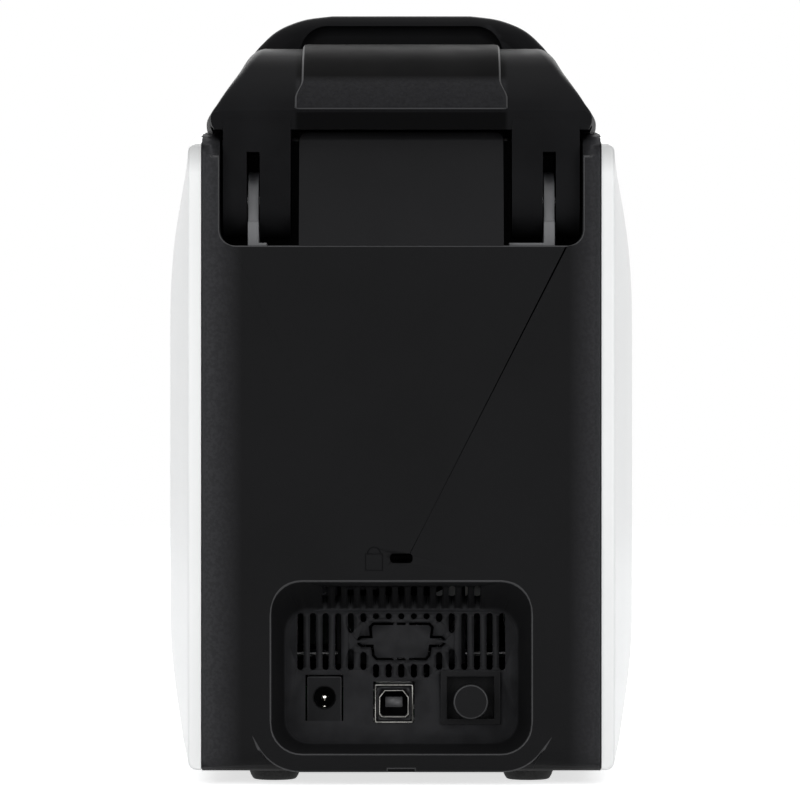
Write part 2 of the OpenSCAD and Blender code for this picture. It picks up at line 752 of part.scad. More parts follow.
module front_bezel() {
    color([0.11, 0.11, 0.12]) latch_ears();
    color([0.11, 0.11, 0.12]) difference() {
        intersection() {
            across(-core_x, core_x) front_outline(0);
            translate([0, 0, foot_h]) linear_extrude(slope_top_z) translate([0, front_y + 15 + 3])
                soft_rect(core_w, 36, corner_r);
            translate([0, 0, 0]) linear_extrude(body_h) translate([-half_w,
                front_y - cut]) square([body_w, slope_run + cut]);
        }
        across(wall - core_x, core_x - wall) front_outline(-wall);
        box([-door_half - gap, front_y - cut, door_low_z - door_r - 0.5],
            [door_half + gap, front_y + 20, door_low_z + door_h + gap]);
        box([-tray_w / 2 - gap, front_y - cut, tray_z - gap],
            [tray_w / 2 + gap, front_y + 20, tray_slot_z1]);
        on_slope(window_s) translate([0, 0, -10]) linear_extrude(20) soft_rect(window_size[0],
            window_size[1], 2);
        for (x = [-side_button_x, side_button_x])
            on_slope(button_s) translate([x, 0, -10]) cylinder(h = 20, r = side_button_r + gap);
        on_slope(release_s) translate([0, 0, -10]) linear_extrude(20)
            soft_rect(release_size[0] + 2 * gap, release_size[1] + 2 * gap, 2);
    }
}

module display_window() {
    color([0.05, 0.06, 0.07]) {
        on_slope(window_s) translate([0, 0, -wall - 0.6]) linear_extrude(wall + 0.3)
            soft_rect(window_size[0], window_size[1], 2);
        on_slope(window_s) translate([0, 0, -wall - 1.2]) linear_extrude(1.2)
            soft_rect(window_size[0] + 5, window_size[1] + 3, 2);
    }
}

module panel_button() {
    color("gray") on_slope(button_s) translate([side_button_x, 0, -wall]) {
        cylinder(h = wall + 0.8, r = side_button_r);
        translate([0, 0, -1.6]) cylinder(h = 1.1, r = side_button_r + 1.2);
        translate([0, 0, -1]) cylinder(h = 1.2, r = side_button_r - 1);
    }
}

module right_button() { panel_button(); }
module left_button() { mirror([1, 0, 0]) panel_button(); }

module release_button() {
    color("gray") on_slope(release_s) translate([0, 0, -wall]) {
        linear_extrude(wall + 1) soft_rect(release_size[0], release_size[1], 2);
        translate([0, 0, -3.4]) linear_extrude(2.6) soft_rect(release_size[0] + 2, release_size[1] - 2.4,
            1.2);
        translate([0, 0, -1]) linear_extrude(1.2) soft_rect(release_size[0] - 6, release_size[1] - 3, 1);
    }
}

module latch_hook() {
    color("silver") difference() {
        union() {
            rod(-20, 20, latch_y, latch_z, 3);
            for (x = [-16, 12]) across(x, x + 4) polygon([[latch_y - 2.4, latch_z],
                [latch_y + 2.4, latch_z],
                [latch_y + 2.4, latch_z + 17], [latch_y + 5, latch_z + 18.5], [latch_y + 1, latch_z + 21],
                [latch_y - 0.6, latch_z + 20]]);
        }
        rod(-21, 21, latch_y, latch_z, 1.5 + run_gap);
    }
}

// Arch-shaped door plate with a round hinge at its lower edge
module hopper_door() {
    color("whitesmoke") difference() {
        union() {
            box([-door_half, front_y, door_z], [door_half, front_y + door_t, door_low_z + door_h - 0.5]);
            rod(-door_half, door_half, door_y, door_z, door_r);
            for (x = [-door_half + 4, door_half - 6])
                box([x, front_y + door_t, door_z + 3], [x + 2, front_y + 6.5, door_low_z + door_h - 6]);
        }
        rod(-door_half - cut, door_half + cut, door_y, door_z, 1.5 + run_gap);
        box([-14, front_y - cut, door_low_z + door_h - 5], [14, front_y + 1.2, door_low_z + door_h + cut]);
        // Window that shows how many cards are left
        along(front_y - cut, front_y + door_t + cut) translate([0, door_z + door_h * 0.52])
            soft_rect(9, door_h * 0.56, 4.4);
    }
}

module input_hopper() {
    color([0.16, 0.16, 0.17]) {
        difference() {
            union() {
                mirrored_x() across(hopper_x, hopper_x + hopper_wall) polygon([[hopper_y0,
                    hopper_floor_z - 2],
                    [hopper_y0, door_low_z + door_h - 4], [front_y + slope_run, hopper_top_z],
                    [hopper_y1 + hopper_wall, hopper_top_z], [hopper_y1 + hopper_wall, path_z + 2.2],
                    [hopper_floor_y, path_z + 2.2], [hopper_floor_y, hopper_floor_z - 2]]);
                box([-hopper_x, hopper_y1, path_z + 2.2],
                    [hopper_x, hopper_y1 + hopper_wall, hopper_top_z]);
                box([-hopper_x, hopper_y0, hopper_floor_z - 2], [hopper_x, hopper_floor_y, hopper_floor_z]);
            }
            // Slots that the weight's handles run in
            mirrored_x() box([hopper_x - cut, front_y + 56, path_z + 3],
                [hopper_x + hopper_wall + cut, front_y + 66, hopper_top_z - 4]);
        }
        // Pins that the door turns on, held by ears beside the hopper
        mirrored_x() {
            rod(door_half - 10, door_half + 6, door_y, door_z, 1.5);
            box([door_half + gap, front_y + wall, door_z - 4],
                [core_x - wall - gap, hopper_y0 + 14, door_z + 4]);
            box([hopper_x + hopper_wall, hopper_y0 + 4, door_z - 4],
                [door_half + 4, hopper_y0 + 14, door_z + 4]);
        }
    }
}

module card_weight() {
    color("orange") {
        box([-hopper_x + gap, front_y + 26, weight_z], [hopper_x - gap, hopper_y1 - gap, weight_z + 3]);
        mirrored_x() box([hopper_x - 1.2, front_y + 57, weight_z + 2.8],
            [hopper_x + hopper_wall + 4, front_y + 65, weight_z + 6]);
        box([-16, front_y + 40, weight_z + 3], [16, front_y + 82, weight_z + 5]);
    }
}

module output_tray() {
    color("whitesmoke") difference() {
        box([-tray_w / 2, front_y, tray_z], [tray_w / 2, tray_y1, tray_z + tray_h]);
        box([-tray_w / 2 + wall, front_y + 3, tray_z + wall],
            [tray_w / 2 - wall, tray_y1 - wall, tray_z + tray_h + cut]);
        // Finger scoop at the front and the card entry at the back
        along(front_y - cut, front_y + 3 + cut) translate([0, tray_z + tray_h + 4]) circle(r = 22);
        box([-tray_w / 2 + wall, tray_y1 - wall - cut, tray_z + 30],
            [tray_w / 2 - wall, tray_y1 + cut, tray_z + tray_h + cut]);
    }
}

stud_r = 2.5;
module frame_plate(x0, gear_side) {
    difference() {
        across(x0, x0 + frame_t) difference() {
            polygon([[frame_y0, floor_z + 12], [frame_y0, frame_top_z - 52],
                [frame_y0 + 14, frame_top_z - 28],
                [cartridge_front_y, frame_top_z - 24], [cartridge_front_y + 8, frame_top_z],
                [pocket_front_y - wall - 14, frame_top_z],
                    [pocket_front_y - wall - 1, pocket_z - wall - 0.5],
                [frame_y1, pocket_z - wall - 0.5], [frame_y1, frame_step_z], [frame_step_y, frame_step_z],
                [frame_step_y, floor_z], [frame_y0 + 8, floor_z]]);
            for (y = [pick_y, clean_y, platen_y, feed_y]) translate([y, roller_z]) circle(r = bush_r);
            for (y = [clean_y, feed_y]) translate([y, pinch_z]) circle(r = pinch_shaft_r + run_gap);
            translate([flipper_y, path_z]) circle(r = trunnion_r + run_gap);
            translate([gate_y, gate_z - 3]) circle(r = 1.5 + run_gap);
            for (p = tie_places)
                translate(p) circle(r = 1.6);
            // Windows that save weight
            translate([(clean_y + pick_y) / 2, 44]) soft_rect(26, 30, 5);
            translate([(clean_y) / 2 - 2, 44]) soft_rect(26, 30, 5);
            if (gear_side) {
                translate([takeup_y, spool_z]) circle(r = stud_r + run_gap);
                translate([motor_y, motor_z]) circle(r = motor_boss_r + 1);
                translate([ribbon_motor_y, ribbon_motor_z]) circle(r = motor_boss_r + 1);
            }
        }
    }
}

// Rests that the ribbon cartridge stands on
module cartridge_rests() {
    for (y = [supply_y, takeup_y])
        box([cheek_x0 + 0.3, y - 6, spool_z - cheek_low - 2.5], [frame_x, y + 6, spool_z - cheek_low]);
}

module right_frame() {
    color("gainsboro") {
        frame_plate(frame_x, true);
        cartridge_rests();
        for (y = [(pick_y + clean_y) / 2, clean_y / 2, feed_y / 2])
            rod(frame_out_x, gear_x + gear_w, y, roller_z, stud_r);
        for (y = [-1, 1], z = [-1, 1])
            rod(frame_out_x, gear_x + gear_w + 1, flipper_motor_y + y * 11.4, path_z + z * 11.4, 1.5);
    }
}

module left_frame() {
    color("gainsboro") {
        frame_plate(-frame_out_x, false);
        mirror([1, 0, 0]) cartridge_rests();
    }
}

module tie_bars() {
    color("silver") {
        for (p = tie_places)
            difference() {
                rod(-frame_x, frame_x, p[0], p[1], 3);
                mirrored_x() rod(frame_x - 7, frame_x + cut, p[0], p[1], 1.25);
            }
    }
}

module frame_screws() {
    color("dimgray")
        for (p = tie_places) mirrored_x() {
            rod(frame_x - 5, frame_out_x, p[0], p[1], 1.25);
            difference() {
                rod(frame_out_x, frame_out_x + 0.75, p[0], p[1], 2.6);
                box([frame_out_x + 0.4, p[0] - 0.4, p[1] - 1.9],
                    [frame_out_x + cut, p[0] + 0.4, p[1] + 1.9]);
                box([frame_out_x + 0.4, p[0] - 1.9, p[1] - 0.4],
                    [frame_out_x + cut, p[0] + 1.9, p[1] + 0.4]);
            }
        }
}

// Flat-flanked gear along X with a tooth at a given angle from +Y
module gear(x0, width, teeth, angle, bore) {
    pitch_r = gear_module * teeth / 2;
    step = 360 / teeth;
    tip = pitch_r + 0.9 * gear_module;
    root = pitch_r - 1.15 * gear_module;
    half_root = step * 0.36;
    half_pitch = step * 0.205;
    half_tip = step * 0.1;
    across(x0, x0 + width) difference() {
        rotate(angle) polygon([for (i = [0:teeth - 1]) let (a = i * step)
            each [for (v = [[root, -half_root], [pitch_r, -half_pitch], [tip, -half_tip], [tip, half_tip],
                [pitch_r, half_pitch], [root, half_root]]) [v[0] * cos(a + v[1]), v[0] * sin(a + v[1])]]]);
        circle(r = bore);
    }
}

// Driven roller: shaft, rubber sleeve and its gear
module roller(y, tooth_angle) {
    color("dimgray") {
        rod(-frame_out_x - 1.5, gear_x, y, roller_z, shaft_r);
        rod(-rubber_half, rubber_half, y, roller_z, roller_r);
    }
    color("ivory") translate([0, y, roller_z]) gear(gear_x, gear_w, transport_teeth, tooth_angle, shaft_r);
    color("dimgray") rod(gear_x, gear_x + gear_w + 0.6, y, roller_z, shaft_r);
}

transport_step = 360 / transport_teeth;
module pick_roller() { roller(pick_y, 0); }
module cleaning_roller() { roller(clean_y, 0); }
module platen_roller() { roller(platen_y, 0); }
module rear_feed_roller() { roller(feed_y, 0); }

module idler(y) {
    color("ivory") translate([0, y, roller_z]) {
        gear(gear_x, gear_w, transport_teeth, transport_step / 2, stud_r + run_gap);
    }
}

module front_idler_gear() { idler((pick_y + clean_y) / 2); }
module middle_idler_gear() { idler(clean_y / 2); }
module rear_idler_gear() { idler(feed_y / 2); }

// The rear idler has a gap or a tooth at its lowest point; the pinion's tooth is set against it
idler_low = (270 - transport_step / 2) / transport_step;
pinion_step = 360 / pinion_teeth;
pinion_angle = 90 + (idler_low == floor(idler_low) ? pinion_step / 2 : 0);

module motor_pinion() {
    color("goldenrod") translate([0, motor_y, motor_z]) gear(gear_x, gear_w, pinion_teeth, pinion_angle,
        motor_shaft_r);
    color("silver") rod(frame_x - 8, gear_x + gear_w + 0.4, motor_y, motor_z, motor_shaft_r);
}

// Square motor along X with its shaft hole; its front flange lies on the frame
module motor_body(x0, x1, y, z, w, boss_x) {
    difference() {
        union() {
            across(x0, x1) translate([y, z]) soft_rect(w, w, 3, $fn = 24);
            rod(min(x1, boss_x), max(x1, boss_x), y, z, motor_boss_r);
        }
        rod(min(x1, boss_x) - 9, max(x1, boss_x) + cut, y, z, motor_shaft_r + run_gap);
    }
}

module transport_motor() {
    color([0.2, 0.2, 0.21]) motor_body(frame_x - motor_len, frame_x, motor_y, motor_z, motor_w,
        frame_out_x);
}

module pinch_roller(y) {
    color("dimgray") {
        rod(-frame_out_x - 0.8, frame_out_x + 0.6, y, pinch_z, pinch_shaft_r);
        rod(-rubber_half, rubber_half, y, pinch_z, pinch_r);
    }
}

module front_pinch_roller() { pinch_roller(clean_y); }
module rear_pinch_roller() { pinch_roller(feed_y); }

module roller_bushes() {
    color("ivory") for (y = [pick_y, clean_y, platen_y, feed_y]) mirrored_x() difference() {
        union() {
            rod(frame_x - 1, frame_out_x, y, roller_z, bush_r);
            rod(frame_x - 1, frame_x, y, roller_z, bush_flange_r);
        }
        rod(frame_x - 2, frame_out_x + cut, y, roller_z, shaft_r + run_gap);
    }
}

// Guide plates under the card path, between the rollers, resting on the frames' inner faces
module card_guide() {
    color([0.25, 0.25, 0.26]) {
        for (span = [[pick_y + roller_r + 1.5, gate_y - 14], [clean_y + roller_r + 1, -roller_r - 1],
            [roller_r + 1, feed_y - roller_r - 1], [feed_y + roller_r + 1,
                flipper_y - flipper_half_l - 7]]) {
            box([-frame_x, span[0], path_z - 2.2], [frame_x, span[1], path_z - 0.4]);
            for (x = [-frame_x, -24, -8, 6, 22, frame_x - 2])
                box([x, span[0] + 0.5, path_z - 6], [x + 2, span[1] - 0.5, path_z - 2.2]);
        }
    }
}

module diverter_gate() {
    color("steelblue") {
        rod(-frame_out_x, frame_out_x, gate_y, gate_z - 3, 1.5);
        rod(-frame_x + 1, frame_x - 1, gate_y, gate_z - 3, 2.6);
        for (x = [-26, -9, 6.5, 23.5]) across(x, x + 2.5) polygon([[gate_y + 1, gate_z - 0.8],
            [gate_y, gate_z - 4],
            [gate_y - gate_len * 0.45, gate_z - 2.6], [gate_y - gate_len * 0.6, gate_z - 1.2],
                [gate_y - 4, gate_z + 0.4]]);
    }
}

// Flipper turning end for end about the trunnions
flipper_rod_z = path_z - flipper_roller_r;
module flipper_frame() {
    difference() {
        union() {
            color("steelblue") mirrored_x() across(flipper_cheek_x, flipper_cheek_x + flipper_cheek_t)
                translate([flipper_y, path_z]) soft_rect(2 * flipper_half_l, 2 * flipper_half_h, 6);
            color("steelblue") for (z = [-1, 1], y = [-1, 1])
                box([-flipper_cheek_x, flipper_y + y * 17 - 3, path_z + (z > 0 ? 1.2 : -3.2)],
                    [flipper_cheek_x, flipper_y + y * 17 + 3, path_z + (z > 0 ? 3.2 : -1.2)]);
            color("steelblue") {
                rod(-frame_out_x - 0.6, -flipper_cheek_x - 1, flipper_y, path_z, trunnion_r);
                rod(flipper_cheek_x + 1, gear_x, flipper_y, path_z, trunnion_r);
                box([-8, flipper_y - 20, path_z + 3.2], [8, flipper_y + 20, path_z + 4.2]);
            }
            color("ivory") translate([0, flipper_y, path_z]) gear(gear_x, gear_w, flipper_teeth, 0, 0);
        }
        rod(-frame_out_x, frame_out_x, flipper_y, path_z - flipper_roller_r, 1.5 + run_gap);
    }
}

module flipper_roller() {
    color("dimgray") {
        rod(-flipper_cheek_x - flipper_cheek_t, flipper_cheek_x + flipper_cheek_t, flipper_y,
            flipper_rod_z, 1.5);
        rod(-rubber_half + 1, rubber_half - 1, flipper_y, flipper_rod_z, 4.5);
    }
}

// The pinion meets the flipper's tooth at 0 degrees with a gap at 180 degrees
flipper_pinion_step = 360 / flipper_pinion_teeth;
pancake_x = gear_x + gear_w + 1;
module flipper_pinion() {
    color("goldenrod") translate([0, flipper_motor_y, path_z])
        gear(gear_x, gear_w, flipper_pinion_teeth, 180 + flipper_pinion_step / 2, motor_shaft_r);
    color("silver") rod(gear_x - 0.3, pancake_x + 8, flipper_motor_y, path_z, motor_shaft_r);
}

module flipper_motor() {
    color([0.2, 0.2, 0.21]) difference() {
        across(pancake_x, pancake_x + 14) translate([flipper_motor_y, path_z]) soft_rect(motor_w,
            motor_w, 3);
        rod(pancake_x - cut, pancake_x + 9, flipper_motor_y, path_z, motor_shaft_r + run_gap);
    }
}

ribbon_tooth_a = 45;
module takeup_gear() {
    color("ivory") translate([0, takeup_y, spool_z])
        gear(ribbon_gear_x, ribbon_gear_w, ribbon_teeth, ribbon_tooth_a, stud_r);
    color("silver") rod(cartridge_x + 0.6, ribbon_gear_x + ribbon_gear_w + 0.5, takeup_y, spool_z, stud_r);
}

module ribbon_pinion() {
    color("goldenrod") translate([0, ribbon_motor_y, ribbon_motor_z])
        gear(ribbon_gear_x, ribbon_gear_w, ribbon_pinion_teeth, 225 + 180 / ribbon_pinion_teeth,
            motor_shaft_r);
    color("silver") rod(frame_x - 8, ribbon_gear_x + ribbon_gear_w + 0.4, ribbon_motor_y, ribbon_motor_z,
        motor_shaft_r);
}

module ribbon_motor() {
    color([0.2, 0.2, 0.21])
        motor_body(frame_x - motor_len + 4, frame_x, ribbon_motor_y, ribbon_motor_z, ribbon_motor_w,
            frame_out_x);
}

cheek_x0 = cartridge_x - 2.5;
bar_y = 18;
bar_z = path_z + 10;
cheek_low = film_r + 3.5;
module ribbon_cartridge() {
    color("white") {
        mirrored_x() across(cheek_x0, cartridge_x) difference() {
            polygon([[supply_y - 19, spool_z + 12], [supply_y - 19, spool_z - 8],
                [supply_y - 10, spool_z - cheek_low],
                [supply_y + 12, spool_z - cheek_low], [-bar_y - 4, bar_z - 3.5], [-bar_y + 4, bar_z - 3.5],
                [-bar_y + 4, spool_z + 9], [bar_y - 4, spool_z + 9], [bar_y - 4, bar_z - 3.5],
                    [bar_y + 4, bar_z - 3.5],
                [takeup_y - 8, spool_z - cheek_low], [takeup_y + 8, spool_z - cheek_low],
                    [takeup_y + 17, spool_z - 8],
                [takeup_y + 17, spool_z + 12], [takeup_y + 10, spool_z + 19],
                    [supply_y - 10, spool_z + 19]]);
            for (y = [supply_y, takeup_y]) translate([y, spool_z]) circle(r = 4 + run_gap);
        }
        for (y = [-bar_y, bar_y]) across(-cheek_x0 - 0.5, cheek_x0 + 0.5)
            translate([y, bar_z]) intersection() {
                square([4, 4], center = true);
                rotate(45) square([4.5, 4.5], center = true);
            }
        rod(-cheek_x0 - 0.5, cheek_x0 + 0.5, supply_y - 10, spool_z + 15, 2.2);
        rod(-cheek_x0 - 0.5, cheek_x0 + 0.5, takeup_y - 16, spool_z + 15, 2.2);
    }
}

module spool(y, r, tone) {
    color("white") {
        rod(-cartridge_x - 0.6, cartridge_x + 0.6, y, spool_z, 4);
        rod(-cheek_x0 + 0.6, cheek_x0 - 0.6, y, spool_z, core_r);
        mirrored_x() rod(cheek_x0 - 1.8, cheek_x0 - 0.6, y, spool_z, core_r + 2);
    }
    color(tone) rod(-rubber_half - 0.5, rubber_half + 0.5, y, spool_z, r);
}

module supply_spool() { spool(supply_y, film_r, "purple"); }
module takeup_spool() { spool(takeup_y, core_r + 2.5, "black"); }

// Free length of film between the two rolls, under the printhead
film_half = rubber_half;
film_low_z = path_z + card_t + 0.15;
film_t = 0.15;
// Underside of the film from the middle to a roll, then its upper side back again
function film_path(lift, end) = [[0, film_low_z + lift], [7.5, film_low_z + lift],
    [bar_y - 1.2, bar_z - 2 - film_t + lift], [bar_y + 1.2 + lift * 0.2, bar_z - 2 - film_t + lift],
    [bar_y + 2 + film_t - lift, bar_z - 1.2], [bar_y + 2 + film_t - lift, bar_z + 1.2], end];
function flip_y(points) = [for (i = [len(points) - 1:-1:0]) [-points[i][0], points[i][1]]];
supply_end = [36.4, spool_z - 14.36];
takeup_end = [27.9, spool_z - 0.4];
module ribbon_film() {
    color("purple") across(-film_half, film_half) polygon(concat(
        flip_y(film_path(0, supply_end)), film_path(0, takeup_end),
        [for (p = [0:0]) takeup_end + [-0.12, 0.1]], [for (i = [5:-1:0]) film_path(film_t, takeup_end)[i]],
        [for (i = [0:5]) let (p = film_path(film_t, supply_end)[i]) [-p[0], p[1]]],
        [[-supply_end[0] + 0.06, supply_end[1] + 0.14]]));
}

head_z = film_low_z + 0.35;
head_half = rubber_half + 1;
module printhead() {
    color("silver") {
        across(-head_half, head_half) polygon([[-4, head_z], [4, head_z], [7, head_z + 3], [7, head_z + 10],
            [-7, head_z + 10], [-7, head_z + 3]]);
        for (y = [-6.5:3:5.5]) box([-head_half + 2, y, head_z + 10], [head_half - 2, y + 1.2, head_z + 20]);
    }
}

module printhead_bracket() {
    color("gainsboro") {
        mirrored_x() difference() {
            box([head_half, -8, head_z + 3], [head_half + 1.6, 8, liner_z]);
            rod(head_half - cut, head_half + 3, 0, head_z + 28, 3);
            rod(head_half - cut, head_half + 3, 0, head_z + 44, 3);
            rod(head_half - cut, head_half + 3, 0, head_z + 60, 3);
        }
        box([-head_half - 1.6, -14, liner_z - 2], [head_half + 1.6, 14, liner_z]);
        box([-head_half, -7, head_z + 30], [head_half, 7, head_z + 31.6]);
    }
}

module main_board() {
    color("darkgreen") difference() {
        box([-board_half_w, board_y0, board_z], [board_half_w, board_y1, board_top]);
        for (x = [-board_half_w + 6, board_half_w - 6], y = [board_y0 + 6, board_y1 - 10])
            translate([x, y, board_z - cut]) cylinder(h = board_t + 2 * cut, r = 1.2);
    }
    color([0.12, 0.12, 0.13]) {
        box([-10, board_y0 + 20, board_top], [12, board_y0 + 42, board_top + 2]);
        box([22, board_y0 + 16, board_top], [34, board_y0 + 28, board_top + 1.6]);
        box([-40, board_y0 + 24, board_top], [-26, board_y0 + 40, board_top + 2]);
        for (x = [20, 30]) translate([x, board_y0 + 40, board_top]) cylinder(h = 9, r = 4, $fn = 24);
        for (x = [-44:4:44]) box([x, board_y0 + 2, board_top], [x + 2.6, board_y0 + 6, board_top + 6]);
    }
    color("silver") box([-46, board_y0 + 54, board_top], [-30, board_y0 + 74, board_top + 8]);
}

// Bodies behind the bay, on the board, with their faces in the bay's floor
socket_y0 = bay_floor_y - 21;
socket_y1 = bay_inner_y - 0.3;
module socket_body(x, z, w, h, y0, y1) {
    box([x - w / 2, y0, board_top], [x + w / 2, socket_y1, z + h / 2]);
    box([x - w / 2, y0, z - h / 2], [x + w / 2, y1, z + h / 2]);
}

module rod_y(x, z, y0, y1, r) {
    translate([x, y1, z]) rotate([90, 0, 0]) cylinder(h = y1 - y0, r = r);
}

module usb_port() {
    color("silver") difference() {
        socket_body(usb_x, usb_z, 12, 12, socket_y0, bay_floor_y + 0.3);
        along(socket_y0 + 4, bay_floor_y + cut) translate([usb_x, usb_z]) polygon([[-4.4, -4.1],
            [4.4, -4.1],
            [4.4, 2.2], [2.7, 4.1], [-2.7, 4.1], [-4.4, 2.2]]);
    }
    color("white") box([usb_x - 2.9, socket_y0 + 3, usb_z - 1.7],
        [usb_x + 2.9, bay_floor_y - 1.6, usb_z + 1.9]);
}

module dc_jack() {
    color([0.07, 0.07, 0.08]) difference() {
        socket_body(jack_x, jack_z, 11.6, 14.1, socket_y0 - 2, bay_floor_y - 0.4);
        rod_y(jack_x, jack_z, socket_y0 + 2, bay_floor_y + cut, 3.4);
    }
    color("silver") {
        rod_y(jack_x, jack_z, socket_y0 + 1, bay_floor_y - 3, 1.05);
        box([jack_x + 1.9, socket_y0 + 1, jack_z - 0.6], [jack_x + 3.5, bay_floor_y - 4, jack_z + 0.6]);
    }
}

button_travel = 3.5;
module power_switch() {
    color([0.1, 0.1, 0.11]) difference() {
        union() {
            socket_body(switch_x, switch_z, 16.6, 14.6, socket_y0 - 2, bay_floor_y + 0.5);
            along(bay_floor_y, bay_floor_y + 0.9) translate([switch_x, switch_z]) square([18.4, 16.4],
                center = true);
        }
        along(bay_floor_y - 3, bay_floor_y + 2) translate([switch_x, switch_z]) square([14.8, 13.2],
            center = true);
        rod_y(switch_x, button_z, socket_y0 + 2, bay_floor_y, 3 + run_gap);
    }
}

module power_button() {
    color([0.09, 0.09, 0.1]) {
        rod_y(switch_x, button_z, bay_floor_y + 1, bay_floor_y + 7, button_r);
        rod_y(switch_x, button_z, socket_y0 + 2 + button_travel + 1, bay_floor_y + 1, 3);
    }
}

fan_w = 40;
fan_z = 56;
fan_y0 = rear_y - 37;
fan_x = 0;
module fan_frame() {
    color([0.08, 0.08, 0.09]) {
        difference() {
            box([fan_x - fan_w / 2, fan_y0, fan_z - fan_w / 2],
                [fan_x + fan_w / 2, fan_y0 + 10, fan_z + fan_w / 2]);
            rod_y(fan_x, fan_z, fan_y0 - cut, fan_y0 + 11, fan_w / 2 - 1.4);
            for (x = [-16, 16], z = [-16, 16]) rod_y(fan_x + x, fan_z + z, fan_y0 - cut, fan_y0 + 11, 1.7);
        }
        rod_y(fan_x, fan_z, fan_y0, fan_y0 + 1.2, 8);
        rod_y(fan_x, fan_z, fan_y0 + 1, fan_y0 + 7, 1.5);
        for (a = [45:90:315]) translate([fan_x, fan_y0 + 1.2, fan_z]) rotate([90, a, 0])
            linear_extrude(1.2) translate([7.5, -1]) square([fan_w / 2 - 8.2, 2]);
    }
}

module fan_rotor() {
    color([0.13, 0.13, 0.14]) {
        difference() {
            rod_y(fan_x, fan_z, fan_y0 + 1.6, fan_y0 + 9, 8);
            rod_y(fan_x, fan_z, fan_y0 + 1.5, fan_y0 + 7.5, 1.5 + run_gap);
        }
        for (a = [0:360 / 7:359]) translate([fan_x, fan_y0 + 5.3, fan_z]) rotate([0, a, 0])
            rotate([35, 0, 0]) translate([7.4, -0.5, -3.2]) cube([10.2, 1, 6.4]);
    }
}

base_tray();
rubber_feet();
back_panel();
left_side_cover();
right_side_cover();
front_bezel();
inner_deck();
display_window();
left_button();
right_button();
release_button();
latch_hook();
lid_shell();
lid_hinge_cover();
lid_liner();
hinge_pins();
left_hinge_plate();
right_hinge_plate();
hopper_door();
input_hopper();
card_weight();
output_tray();
left_frame();
right_frame();
tie_bars();
frame_screws();
card_guide();
diverter_gate();
pick_roller();
cleaning_roller();
platen_roller();
rear_feed_roller();
front_pinch_roller();
rear_pinch_roller();
roller_bushes();
front_idler_gear();
middle_idler_gear();
rear_idler_gear();
motor_pinion();
transport_motor();
flipper_frame();
flipper_roller();
flipper_pinion();
flipper_motor();
ribbon_cartridge();
supply_spool();
takeup_spool();
takeup_gear();
ribbon_film();
ribbon_pinion();
ribbon_motor();
printhead();
printhead_bracket();
main_board();
usb_port();
dc_jack();
power_switch();
power_button();
fan_frame();
fan_rotor();
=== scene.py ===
"""Dresses a desktop id card printer: rounded covers, finishes, fine details and a plain studio."""

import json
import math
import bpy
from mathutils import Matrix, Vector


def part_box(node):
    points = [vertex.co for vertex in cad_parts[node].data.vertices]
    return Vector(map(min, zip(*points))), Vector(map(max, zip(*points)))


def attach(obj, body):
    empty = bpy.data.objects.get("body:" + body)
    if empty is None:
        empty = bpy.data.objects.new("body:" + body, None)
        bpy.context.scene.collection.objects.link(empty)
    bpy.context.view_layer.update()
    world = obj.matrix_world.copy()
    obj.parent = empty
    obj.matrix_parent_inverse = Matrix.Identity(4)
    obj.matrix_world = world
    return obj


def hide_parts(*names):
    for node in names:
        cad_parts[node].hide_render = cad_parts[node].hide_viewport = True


bl_info = {
    "name": "Card Printer Dresser",
    "version": (1, 0, 0),
    "blender": (4, 5, 0),
    "location": "View3D > Sidebar > Printer",
    "description": "Builds the covers, finishes and studio of a desktop id card printer",
    "category": "Object",
}

import bmesh
import bpy
from bpy.props import FloatProperty, FloatVectorProperty, IntProperty, PointerProperty
from mathutils import Vector

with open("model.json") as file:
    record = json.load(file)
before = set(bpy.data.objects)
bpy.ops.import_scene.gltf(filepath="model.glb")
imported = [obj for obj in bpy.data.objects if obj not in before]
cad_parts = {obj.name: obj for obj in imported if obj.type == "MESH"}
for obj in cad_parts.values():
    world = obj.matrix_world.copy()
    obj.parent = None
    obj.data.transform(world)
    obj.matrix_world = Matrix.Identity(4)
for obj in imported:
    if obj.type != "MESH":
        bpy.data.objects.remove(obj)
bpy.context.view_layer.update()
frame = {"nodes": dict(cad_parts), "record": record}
NODES = frame["nodes"]

MM = 0.001
# Material slot of the faces of rounded edges
EDGE_SLOT = 1
# Points closer than this, in metres, are one point
WELD = 0.000002
# How far, in millimetres, a cutting body reaches past what it cuts
OVERCUT = 4.0
# Nodes whose large faces have openings in them: these are split before their edges are rounded
WINDOWED = ("front_bezel", "inner_deck", "back_panel", "base_tray", "power_switch")


# ---------------------------------------------------------------- settings


class CoverSettings(bpy.types.PropertyGroup):
    """Sizes of the outer covers."""

    edge_radius: FloatProperty(
        name="Edge radius", description="Rounding of the sharp edges of the covers, lid and rear panel",
        default=0.0004, min=0.0001, max=0.001, unit="LENGTH", subtype="DISTANCE")
    rings: IntProperty(
        name="Rings", description="Number of cross sections along a curved cover",
        default=72, min=12, max=160)


class FinishSettings(bpy.types.PropertyGroup):
    """Colours and grain of the finishes."""

    black: FloatVectorProperty(
        name="Black plastic", description="Colour of the textured black plastic",
        default=(0.0058, 0.0058, 0.0062), size=3, subtype="COLOR", min=0.0, max=1.0)
    white: FloatVectorProperty(
        name="White plastic", description="Colour of the white side covers",
        default=(0.80, 0.80, 0.79), size=3, subtype="COLOR", min=0.0, max=1.0)
    grain: FloatProperty(
        name="Grain", description="Size of the fine moulded grain of the black plastic",
        default=0.00045, min=0.0001, max=0.002, unit="LENGTH", subtype="DISTANCE")


